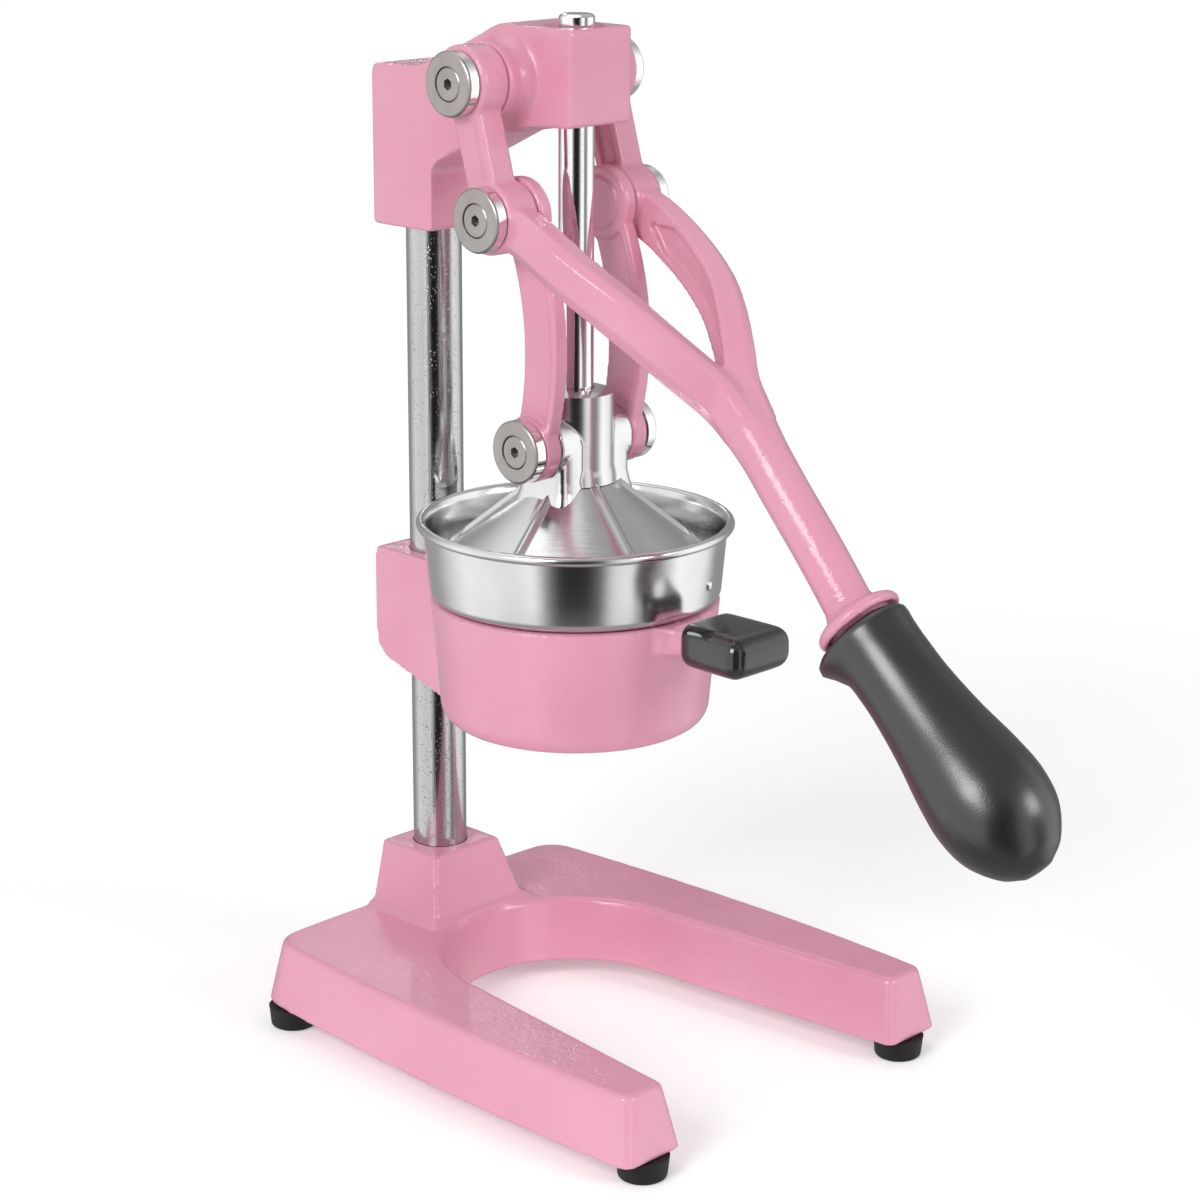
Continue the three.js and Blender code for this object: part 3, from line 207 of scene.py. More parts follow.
class Form:
    """A closed mesh being shaped, in millimetres about the press axis."""

    def __init__(self) -> None:
        """Starts with an empty mesh."""
        self.bm = bmesh.new()

    @classmethod
    def lathe(cls, profile: Sequence[Point], segments: int = 96) -> "Form":
        """Spins a profile of (radius, height) about Z.

        Args:
            profile: its points, which end on the axis or are closed by the last edge.
            segments: steps in the full turn.

        Returns:
            The closed shape.
        """
        form = cls()
        verts = [form.bm.verts.new((radius, 0, height)) for radius, height in profile]
        edges = [form.bm.edges.new(pair) for pair in zip(verts, verts[1:])]
        if profile[0][0] > 0 or profile[-1][0] > 0:
            edges.append(form.bm.edges.new((verts[-1], verts[0])))
        bmesh.ops.spin(form.bm, geom=verts + edges, cent=(0, 0, 0), axis=(0, 0, 1),
                       dvec=(0, 0, 0), angle=FULL_TURN, steps=segments, use_merge=True)
        return form.tidy()

    @classmethod
    def bar(cls, radius: float, low: float, high: float, segments: int = 64) -> "Form":
        """A plain round bar about Z from one height to another."""
        return cls.lathe([(0, low), (radius, low), (radius, high), (0, high)], segments)

    @classmethod
    def prism(cls, outline: Sequence[Point], low: float, high: float, axis: Axis) -> "Form":
        """Gives an outline depth along an axis.

        Args:
            outline: the closed outline's points.
            low: where the depth begins.
            high: where it ends.
            axis: the direction of the depth.

        Returns:
            The closed shape.
        """
        form = cls()
        face = form.bm.faces.new([form.bm.verts.new(axis.place(u, v, low)) for u, v in outline])
        raised = bmesh.ops.extrude_face_region(form.bm, geom=[face])["geom"]
        moved = [item for item in raised if isinstance(item, bmesh.types.BMVert)]
        bmesh.ops.translate(form.bm, verts=moved, vec=Vector(axis.place(0, 0, high - low)))
        return form.tidy()

    @classmethod
    def loft(cls, rings: Sequence[Sequence[Vector]]) -> "Form":
        """Bridges closed rings of points in their order and closes both ends.

        Args:
            rings: the rings, each with as many points as the next.

        Returns:
            The closed shape.
        """
        form = cls()
        loops = []
        for ring in rings:
            verts = [form.bm.verts.new(place) for place in ring]
            loops.append([form.bm.edges.new(pair) for pair in zip(verts, verts[1:] + verts[:1])])
        for near, far in zip(loops, loops[1:]):
            bmesh.ops.bridge_loops(form.bm, edges=near + far)
        for loop in (loops[0], loops[-1]):
            bmesh.ops.contextual_create(form.bm, geom=loop)
        return form.tidy()

    def tidy(self) -> "Form":
        """Merges doubled points and turns the faces outwards."""
        bmesh.ops.remove_doubles(self.bm, verts=self.bm.verts, dist=1e-4)
        bmesh.ops.recalc_face_normals(self.bm, faces=self.bm.faces)
        return self

    def moved(self, matrix: Matrix) -> "Form":
        """Applies a matrix to the shape."""
        bmesh.ops.transform(self.bm, matrix=matrix, verts=self.bm.verts)
        return self

    def shifted(self, x: float, y: float, z: float) -> "Form":
        """Moves the shape."""
        return self.moved(Matrix.Translation((x, y, z)))

    def across(self, pivot: Vector, side: int = 1) -> "Form":
        """Turns a shape made along Z onto the line through a pivot, away from the middle."""
        return self.moved(Matrix.Translation((0, pivot.y, pivot.z))
                          @ Matrix.Rotation(side * QUARTER_TURN, 4, "Y"))

    def reshaped(self, rule: Callable[[Vector], None]) -> "Form":
        """Moves each point by a rule that changes the place it is given."""
        for vert in self.bm.verts:
            rule(vert.co)
        return self

    def bevelled(self, width: float, segments: int = 4, sharper_than: float = 25) -> "Form":
        """Rounds the edges that turn by more than an angle in degrees.

        Args:
            width: how far the rounding reaches.
            segments: its steps.
            sharper_than: the angle in degrees.

        Returns:
            This form.
        """
        limit = math.radians(sharper_than)
        edges = [edge for edge in self.bm.edges if edge.calc_face_angle(0) > limit]
        bmesh.ops.bevel(self.bm, geom=edges, offset=width, offset_type="OFFSET",
                        affect="EDGES", segments=segments, profile=0.5, material=-1)
        return self

    def joined(self, *others: "Form") -> "Form":
        """Takes other shapes' meshes in, without a boolean.

        Args:
            others: the shapes to take in.

        Returns:
            This form.
        """
        for other in others:
            mesh = other.mesh("taken_in")
            self.bm.from_mesh(mesh)
            bpy.data.meshes.remove(mesh)
        return self

    def mesh(self, name: str) -> bpy.types.Mesh:
        """A mesh of the shape as it stands."""
        mesh = bpy.data.meshes.new(name)
        self.bm.to_mesh(mesh)
        return mesh

    def modified(self, kind: str, **settings: object) -> "Form":
        """Puts the shape through one of Blender's modifiers.

        Args:
            kind: the modifier's type.
            settings: its properties.

        Returns:
            This form, with the modifier's result.
        """
        work = bpy.data.objects.new("work", self.mesh("work"))
        bpy.context.scene.collection.objects.link(work)
        modifier = work.modifiers.new(kind, kind)
        for name, value in settings.items():
            setattr(modifier, name, value)
        seen = work.evaluated_get(bpy.context.evaluated_depsgraph_get())
        result = bpy.data.meshes.new_from_object(seen)
        self.bm.clear()
        self.bm.from_mesh(result)
        start = work.data
        bpy.data.objects.remove(work)
        bpy.data.meshes.remove(start)
        bpy.data.meshes.remove(result)
        return self

    def boolean(self, operation: str, *tools: "Form") -> "Form":
        """Cuts tools out of the shape or joins them to it, one at a time.

        Args:
            operation: DIFFERENCE or UNION.
            tools: the other shapes.

        Returns:
            This form.
        """
        for tool in tools:
            other = bpy.data.objects.new("tool", tool.mesh("tool"))
            bpy.context.scene.collection.objects.link(other)
            self.modified("BOOLEAN", object=other, operation=operation, solver="MANIFOLD")
            mesh = other.data
            bpy.data.objects.remove(other)
            bpy.data.meshes.remove(mesh)
        return self

    def cut(self, *tools: "Form") -> "Form":
        """Cuts tools out of the shape."""
        return self.boolean("DIFFERENCE", *tools)

    def fused(self, grain: float, softness: int) -> "Form":
        """Melts overlapping shapes into one casting with soft edges and filleted corners.

        Args:
            grain: size of the new mesh's faces.
            softness: rounds of smoothing.

        Returns:
            This form, as one skin.
        """
        self.modified("REMESH", mode="VOXEL", voxel_size=grain, adaptivity=0.0)
        return self.modified("SMOOTH", factor=0.5, iterations=softness)

    def piece(self, name: str, finish: "Finish", body: str, node: str | None = None,
              crease: float = 40) -> bpy.types.Object:
        """Makes the finished piece, dressed and riding on its body.

        Args:
            name: the piece's name.
            finish: what it is made of.
            body: the CAD body that it moves with.
            node: the CAD node that it stands for, if any.
            crease: edges sharper than this many degrees stay crisp.

        Returns:
            The new object.
        """
        self.moved(row_frame())
        mesh = self.mesh(name)
        mesh.shade_smooth()
        mesh.set_sharp_from_angle(angle=math.radians(crease))
        mesh.materials.append(finish.material())
        thing = bpy.data.objects.new(name, mesh)
        bpy.context.scene.collection.objects.link(thing)
        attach(thing, body)
        if node:
            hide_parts(node)
        LOG.info("%s: %d faces on %s", name, len(mesh.polygons), body)
        return thing


def section(half_width: float, half_height: float, power: float, count: int = 40) -> list[Point]:
    """A rounded rectangle, squarer as power grows.

    Args:
        half_width: half its width.
        half_height: half its height.
        power: how square its corners are.
        count: how many points it gives.

    Returns:
        Its points.
    """
    ring = []
    for i in range(count):
        angle = FULL_TURN * i / count
        cos, sin = math.cos(angle), math.sin(angle)
        ring.append((half_width * math.copysign(abs(cos) ** (2 / power), cos),
                     half_height * math.copysign(abs(sin) ** (2 / power), sin)))
    return ring


def swept(run: Sequence[Vector], ring_at: Callable[[float], Sequence[Point]]) -> Form:
    """Carries a section along a run of places.

    Args:
        run: the middle of the sweep.
        ring_at: gives the section (sideways, upwards) at a share of the run.

    Returns:
        The closed sweep.
    """
    rings = []
    last = len(run) - 1
    for i, place in enumerate(run):
        ahead = (run[min(i + 1, last)] - run[max(i - 1, 0)]).normalized()
        sideways = ahead.cross(Vector((0, 0, 1))).normalized()
        upwards = sideways.cross(ahead)
        rings.append([place + sideways * u + upwards * v for u, v in ring_at(i / last)])
    return Form.loft(rings)


def set_screw_hole(node: str, column_y: float) -> Form:
    """The hole behind the column for a set screw, at the screw's height."""
    hole = Form.bar(SET_SCREW_RADIUS, 0, 60, 32).moved(Matrix.Rotation(-QUARTER_TURN, 4, "X"))
    return hole.shifted(0, column_y, Box.of(node).centre.z)


# ---------------------------------------------------------------- shader graphs


class Graph:
    """Short calls that place and join shader nodes in one tree."""

    def __init__(self, tree: bpy.types.NodeTree) -> None:
        """Takes the tree to work in."""
        self.tree = tree

    def node(self, kind: str, inputs: dict | None = None, **settings: object) -> bpy.types.Node:
        """Places a node.

        Args:
            kind: the node's type, without its ShaderNode prefix.
            inputs: socket names to plain values or to sockets that feed them.
            settings: the node's own properties.

        Returns:
            The new node.
        """
        node = self.tree.nodes.new("ShaderNode" + kind)
        for name, value in settings.items():
            setattr(node, name, value)
        for name, value in (inputs or {}).items():
            self.feed(node.inputs[name], value)
        return node

    def feed(self, socket: bpy.types.NodeSocket, value: object) -> None:
        """Sets a socket to a plain value, or links it to another socket.

        Args:
            socket: the input to set.
            value: a number, a colour, a vector or a socket.
        """
        if isinstance(value, bpy.types.NodeSocket):
            self.tree.links.new(value, socket)
        else:
            socket.default_value = value

    def ramp(self, source: bpy.types.NodeSocket, *stops: tuple[float, float]) -> object:
        """A grey ramp through stops of (position, value).

        Args:
            source: the socket that it reads.
            stops: its stops, in order.

        Returns:
            The ramp's socket.
        """
        node = self.node("ValToRGB", {"Fac": source})
        elements = node.color_ramp.elements
        while len(elements) < len(stops):
            elements.new(0.5)
        for element, (position, value) in zip(elements, stops):
            element.position = position
            element.color = (value, value, value, 1)
        return node.outputs["Color"]

    def maths(self, operation: str, first: object, second: object = 0.0) -> object:
        """One step of arithmetic on values.

        Args:
            operation: the Math node's operation.
            first: a value or a socket.
            second: a value or a socket.

        Returns:
            The result's socket.
        """
        node = self.node("Math", operation=operation)
        self.feed(node.inputs[0], first)
        self.feed(node.inputs[1], second)
        return node.outputs[0]


class Effect:
    """A surface effect that several finishes share, as a node group built once."""

    _made: dict[str, bpy.types.NodeTree] = {}

    @classmethod
    def group(cls, name: str, inputs: dict[str, float], outputs: Sequence[str],
              fill: Callable[[Graph, dict, dict], None]) -> bpy.types.NodeTree:
        """Finds the group, or builds it.

        Args:
            name: the group's name.
            inputs: its float inputs and their defaults; it also has a Vector input.
            outputs: its float outputs.
            fill: places the nodes, given the graph and the group's sockets by name.

        Returns:
            The node group.
        """
        if name in cls._made:
            return cls._made[name]
        tree = bpy.data.node_groups.new(name, "ShaderNodeTree")
        tree.interface.new_socket("Vector", in_out="INPUT", socket_type="NodeSocketVector")
        for label, default in inputs.items():
            socket = tree.interface.new_socket(label, in_out="INPUT", socket_type="NodeSocketFloat")
            socket.default_value = default
        for label in outputs:
            tree.interface.new_socket(label, in_out="OUTPUT", socket_type="NodeSocketFloat")
        source = tree.nodes.new("NodeGroupInput")
        sink = tree.nodes.new("NodeGroupOutput")
        fill(Graph(tree), {s.name: s for s in source.outputs}, {s.name: s for s in sink.inputs})
        cls._made[name] = tree
        return tree

    @staticmethod
    def ripple() -> bpy.types.NodeTree:
        """Height and tone of enamel that has flowed over a cast surface.

        Returns:
            The node group.
        """

        def fill(graph: Graph, given: dict, result: dict) -> None:
            """Mixes a broad flow with a fine peel.

            Args:
                graph: the group's graph.
                given: its inputs by name.
                result: its outputs by name.
            """
            broad = graph.node("TexNoise", {
                "Vector": given["Vector"], "Scale": given["Flow Scale"],
                "Detail": 2.0, "Roughness": 0.45})
            peel = graph.node("TexNoise", {
                "Vector": given["Vector"], "Scale": given["Peel Scale"],
                "Detail": 3.0, "Roughness": 0.6})
            fine = graph.maths("MULTIPLY", peel.outputs["Fac"], given["Peel"])
            total = graph.maths("ADD", broad.outputs["Fac"], fine)
            graph.feed(result["Height"], total)
            graph.feed(result["Tone"], graph.ramp(broad.outputs["Fac"], (0.3, 0.0), (0.7, 1.0)))

        inputs = {"Flow Scale": 60.0, "Peel Scale": 520.0, "Peel": 0.3}
        return Effect.group("Enamel Flow", inputs, ("Height", "Tone"), fill)

    @staticmethod
    def pits() -> bpy.types.NodeTree:
        """Scattered small pits and flecks.

        Returns:
            The node group.
        """

        def fill(graph: Graph, given: dict, result: dict) -> None:
            """Keeps the middles of some cells.

            Args:
                graph: the group's graph.
                given: its inputs by name.
                result: its outputs by name.
            """
            cells = graph.node("TexVoronoi", {"Vector": given["Vector"], "Scale": given["Scale"]})
            chosen = graph.node("TexNoise", {
                "Vector": given["Vector"], "Scale": given["Patch Scale"], "Detail": 3.0})
            spot = graph.ramp(cells.outputs["Distance"], (0.08, 1.0), (0.3, 0.0))
            where = graph.ramp(chosen.outputs["Fac"], (0.4, 0.0), (0.58, 1.0))
            graph.feed(result["Mask"], graph.maths("MULTIPLY", spot, where))

        inputs = {"Scale": 900.0, "Patch Scale": 160.0}
        return Effect.group("Pits", inputs, ("Mask",), fill)

    @staticmethod
    def streaks() -> bpy.types.NodeTree:
        """Long fine lines left by drawing or polishing along Z.

        Returns:
            The node group.
        """

        def fill(graph: Graph, given: dict, result: dict) -> None:
            """Stretches two noises along Z.

            Args:
                graph: the group's graph.
                given: its inputs by name.
                result: its outputs by name.
            """
            stretch = graph.node("Mapping", {"Vector": given["Vector"], "Scale": (1, 1, 0.03)})
            lines = graph.node("TexNoise", {
                "Vector": stretch.outputs["Vector"], "Scale": given["Scale"],
                "Detail": 4.0, "Roughness": 0.6})
            haze = graph.node("TexNoise", {
                "Vector": given["Vector"], "Scale": given["Haze Scale"], "Detail": 3.0})
            graph.feed(result["Lines"], lines.outputs["Fac"])
            graph.feed(result["Haze"], haze.outputs["Fac"])

        inputs = {"Scale": 700.0, "Haze Scale": 45.0}
        return Effect.group("Draw Lines", inputs, ("Lines", "Haze"), fill)

    @staticmethod
    def turning() -> bpy.types.NodeTree:
        """Rings that a lathe tool or a spun polish leaves about the Z axis of its vector.

        Returns:
            The node group.
        """

        def fill(graph: Graph, given: dict, result: dict) -> None:
            """Reads a noise by radius and height alone, and breaks it up a little.

            Args:
                graph: the group's graph.
                given: its inputs by name.
                result: its outputs by name.
            """
            parts = graph.node("SeparateXYZ", {"Vector": given["Vector"]})
            square_x = graph.maths("MULTIPLY", parts.outputs["X"], parts.outputs["X"])
            square_y = graph.maths("MULTIPLY", parts.outputs["Y"], parts.outputs["Y"])
            radius = graph.maths("SQRT", graph.maths("ADD", square_x, square_y))
            where = graph.node("CombineXYZ", {"X": radius, "Y": 0.0, "Z": parts.outputs["Z"]})
            rings = graph.node("TexNoise", {
                "Vector": where.outputs["Vector"], "Scale": given["Scale"],
                "Detail": 3.0, "Roughness": 0.7})
            smudge = graph.node("TexNoise", {
                "Vector": given["Vector"], "Scale": given["Smudge Scale"], "Detail": 3.0})
            graph.feed(result["Rings"], rings.outputs["Fac"])
            graph.feed(result["Smudge"], smudge.outputs["Fac"])

        inputs = {"Scale": 1500.0, "Smudge Scale": 90.0}
        return Effect.group("Turning Rings", inputs, ("Rings", "Smudge"), fill)

    @staticmethod
    def grain() -> bpy.types.NodeTree:
        """The fine leathery grain and faint wear of moulded plastic or rubber.

        Returns:
            The node group.
        """

        def fill(graph: Graph, given: dict, result: dict) -> None:
            """Pairs small cells with a slow variation.

            Args:
                graph: the group's graph.
                given: its inputs by name.
                result: its outputs by name.
            """
            cells = graph.node("TexVoronoi", {
                "Vector": given["Vector"], "Scale": given["Scale"], "Randomness": 1.0},
                feature="SMOOTH_F1")
            slow = graph.node("TexNoise", {
                "Vector": given["Vector"], "Scale": given["Wear Scale"], "Detail": 4.0})
            graph.feed(result["Height"], cells.outputs["Distance"])
            graph.feed(result["Wear"], slow.outputs["Fac"])

        inputs = {"Scale": 1400.0, "Wear Scale": 60.0}
        return Effect.group("Moulded Grain", inputs, ("Height", "Wear"), fill)


# ---------------------------------------------------------------- finishes

Colour = tuple[float, float, float]
MADE: dict[str, bpy.types.Material] = {}


def mixed(graph: Graph, amount: object, first: Colour, second: Colour) -> object:
    """A colour that goes from the first to the second as amount goes from 0 to 1.

    Args:
        graph: the graph to work in.
        amount: the socket that chooses.
        first: the colour at 0.
        second: the colour at 1.

    Returns:
        The colour's socket.
    """
    node = graph.node("Mix", data_type="RGBA")
    graph.feed(node.inputs[0], amount)
    node.inputs[6].default_value = (*first, 1)
    node.inputs[7].default_value = (*second, 1)
    return node.outputs[2]


def between(graph: Graph, amount: object, low: float, high: float) -> object:
    """A value that goes from low to high as amount goes from 0 to 1."""
    node = graph.node("MapRange", {"Value": amount, "To Min": low, "To Max": high})
    return node.outputs["Result"]


@dataclass(frozen=True)
class Finish:
    """What a piece is made of: its plain shader values, and the effect that varies them."""

    name: str
    slot: str
    colour: Colour
    shade: Colour
    roughness: tuple[float, float]
    metallic: float = 0.0
    specular: float = 0.5
    bump: float = 0.0001
    bump_strength: float = 0.5

    def material(self) -> bpy.types.Material:
        """The finish's material, made once."""
        if self.name not in MADE:
            MADE[self.name] = self.made()
        return MADE[self.name]

    def made(self) -> bpy.types.Material:
        """Makes the material: plain values on the shader, and the effect on its links.

        Returns:
            The material.
        """
        material = bpy.data.materials.new(f"{self.name}_finish")
        material.use_nodes = True
        tree = material.node_tree
        shader = tree.nodes["Principled BSDF"]
        shader.inputs["Metallic"].default_value = self.metallic
        shader.inputs["Specular IOR Level"].default_value = self.specular
        graph = Graph(tree)
        where = graph.node("TexCoord").outputs["Object"]
        tone, rough, height = self.detail(graph, where)
        graph.feed(shader.inputs["Base Color"], mixed(graph, tone, self.colour, self.shade))
        graph.feed(shader.inputs["Roughness"], between(graph, rough, *self.roughness))
        bump = graph.node("Bump", {
            "Height": height, "Distance": self.bump, "Strength": self.bump_strength})
        graph.feed(shader.inputs["Normal"], bump.outputs["Normal"])
        return material

    def detail(self, graph: Graph, where: object) -> tuple[object, object, object]:
        """Places the effect.

        Args:
            graph: the material's graph.
            where: the object coordinates.

        Returns:
            Three sockets from 0 to 1: the tone, the roughness and the height.
        """
        raise NotImplementedError


def placed(graph: Graph, tree: bpy.types.NodeTree, where: object, **values: float) -> object:
    """Places a shared effect with its own values, and gives its node.

    Args:
        graph: the material's graph.
        tree: the node group.
        where: the coordinates that it reads.
        values: its inputs, with underscores for spaces.

    Returns:
        The group's node.
    """
    node = graph.node("Group", node_tree=tree)
    graph.feed(node.inputs["Vector"], where)
    for label, value in values.items():
        node.inputs[label.replace("_", " ")].default_value = value
    return node


@dataclass(frozen=True)
class Enamel(Finish):
    """Gloss enamel on a casting."""

    peel: float = 0.3

    def detail(self, graph: Graph, where: object) -> tuple[object, object, object]:
        """Flow and orange peel."""
        flow = placed(graph, Effect.ripple(), where, Peel=self.peel)
        wide = placed(graph, Effect.ripple(), where, Flow_Scale=14.0, Peel_Scale=180.0)
        return wide.outputs["Tone"], wide.outputs["Tone"], flow.outputs["Height"]


@dataclass(frozen=True)
class Plated(Finish):
    """Chrome plate, with draw lines along Z and a few pits."""

    pit_scale: float = 900.0

    def detail(self, graph: Graph, where: object) -> tuple[object, object, object]:
        """Lines, haze and pits.

        Args:
            graph: the material's graph.
            where: the object coordinates.

        Returns:
            The tone, the roughness and the height.
        """
        lines = placed(graph, Effect.streaks(), where)
        pits = placed(graph, Effect.pits(), where, Scale=self.pit_scale)
        dull = graph.maths("MULTIPLY", lines.outputs["Haze"], lines.outputs["Lines"])
        tone = graph.maths("ADD", graph.maths("MULTIPLY", dull, 0.5), pits.outputs["Mask"])
        height = graph.maths("SUBTRACT", lines.outputs["Lines"], pits.outputs["Mask"])
        return tone, tone, height


@dataclass(frozen=True)
class Turned(Finish):
    """Metal with rings from turning or spinning, about Z or about X."""

    about_x: bool = False
    centre: tuple[float, float, float] = (0.0, 0.0, 0.0)
    ring_scale: float = 1500.0

    def detail(self, graph: Graph, where: object) -> tuple[object, object, object]:
        """Rings and smudges.

        Args:
            graph: the material's graph.
            where: the object coordinates.

        Returns:
            The tone, the roughness and the height.
        """
        centred = graph.node("Mapping", {
            "Vector": where, "Location": tuple(-v for v in self.centre)})
        turned = centred.outputs["Vector"]
        if self.about_x:
            turned = graph.node("Mapping", {
                "Vector": turned, "Rotation": (0, -QUARTER_TURN, 0)}).outputs["Vector"]
        rings = placed(graph, Effect.turning(), turned, Scale=self.ring_scale)
        return rings.outputs["Smudge"], rings.outputs["Rings"], rings.outputs["Rings"]


@dataclass(frozen=True)
class Moulded(Finish):
    """Plastic or rubber with a moulded grain."""

    grain_scale: float = 1400.0

    def detail(self, graph: Graph, where: object) -> tuple[object, object, object]:
        """Grain and wear."""
        grain = placed(graph, Effect.grain(), where, Scale=self.grain_scale)
        return grain.outputs["Wear"], grain.outputs["Wear"], grain.outputs["Height"]


def axis_in_metres(node: str) -> tuple[float, float, float]:
    """The middle of a node's box in the row's frame, where a turned pattern centres."""
    low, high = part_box(node)
    return tuple((low + high) / 2)


PINK = Enamel("pink_enamel", "pink_enamel", (0.765, 0.355, 0.465), (0.72, 0.30, 0.415),
              (0.1, 0.17), bump=0.001, bump_strength=0.42, peel=0.45)
COLUMN_CHROME = Plated("column_chrome", "column_chrome", (0.54, 0.54, 0.555), (0.20, 0.20, 0.215),
                       (0.08, 0.5), metallic=1.0, bump=0.00016, bump_strength=0.5)
ROD_CHROME = Plated("rod_chrome", "rod_chrome", (0.86, 0.87, 0.88), (0.55, 0.55, 0.57),
                    (0.04, 0.22), metallic=1.0, bump=0.00005, bump_strength=0.3, pit_scale=1300.0)
STAINLESS = Turned("stainless", "stainless", (0.72, 0.72, 0.725), (0.62, 0.62, 0.63),
                   (0.12, 0.26), metallic=1.0, bump=0.00003, bump_strength=0.35,
                   centre=axis_in_metres("bowl"))
ALUMINIUM = Turned("polished_aluminium", "polished_aluminium", (0.74, 0.745, 0.75),
                   (0.62, 0.62, 0.63), (0.12, 0.27), metallic=1.0, bump=0.00006,
                   bump_strength=0.4, centre=axis_in_metres("guide_rod"), ring_scale=700.0)
ZINC = Moulded("zinc_steel", "zinc_steel", (0.52, 0.52, 0.50), (0.40, 0.40, 0.39),
               (0.3, 0.5), metallic=1.0, bump=0.00004, bump_strength=0.4)
BRONZE = Turned("bronze", "bronze", (0.56, 0.38, 0.18), (0.42, 0.27, 0.12),
                (0.28, 0.45), metallic=1.0, bump=0.00005, centre=axis_in_metres("guide_rod"))
BLACK_GLOSS = Moulded("black_gloss", "black_gloss", (0.012, 0.012, 0.014), (0.02, 0.02, 0.022),
                      (0.06, 0.12), specular=0.8, bump=0.00006, bump_strength=0.25,
                      grain_scale=260.0)
BLACK_SATIN = Moulded("black_satin", "black_satin", (0.006, 0.006, 0.007), (0.012, 0.012, 0.013),
                      (0.24, 0.34), specular=0.95, bump=0.00008, bump_strength=0.3)
RUBBER = Moulded("rubber", "rubber", (0.008, 0.008, 0.009), (0.018, 0.018, 0.019),
                 (0.5, 0.7), specular=0.35, bump=0.00012, bump_strength=0.6, grain_scale=900.0)


def cap_finish(pivot: str) -> Turned:
    """Turned nickel whose rings centre on one pivot."""
    return Turned(f"satin_nickel_{pivot}", "satin_nickel", (0.43, 0.405, 0.385),
                  (0.30, 0.28, 0.265), (0.24, 0.42), metallic=1.0, bump=0.0001, bump_strength=0.6,
                  about_x=True, centre=axis_in_metres(f"{pivot}_pivot_cap_left"))


POLISHED_NICKEL = Plated("polished_nickel", "satin_nickel", (0.84, 0.83, 0.82), (0.6, 0.59, 0.58),
                         (0.05, 0.16), metallic=1.0, bump=0.00004, bump_strength=0.3)


def dress(finish: Finish, *nodes: str) -> None:
    """Gives CAD nodes that stay in view a finish.

    Args:
        finish: what they are made of.
        nodes: their names.
    """
    for name in nodes:
        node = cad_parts[name]
        node.data.materials.clear()
        node.data.materials.append(finish.material())
    LOG.info("%s: %s", finish.name, ", ".join(nodes))


# ---------------------------------------------------------------- stand


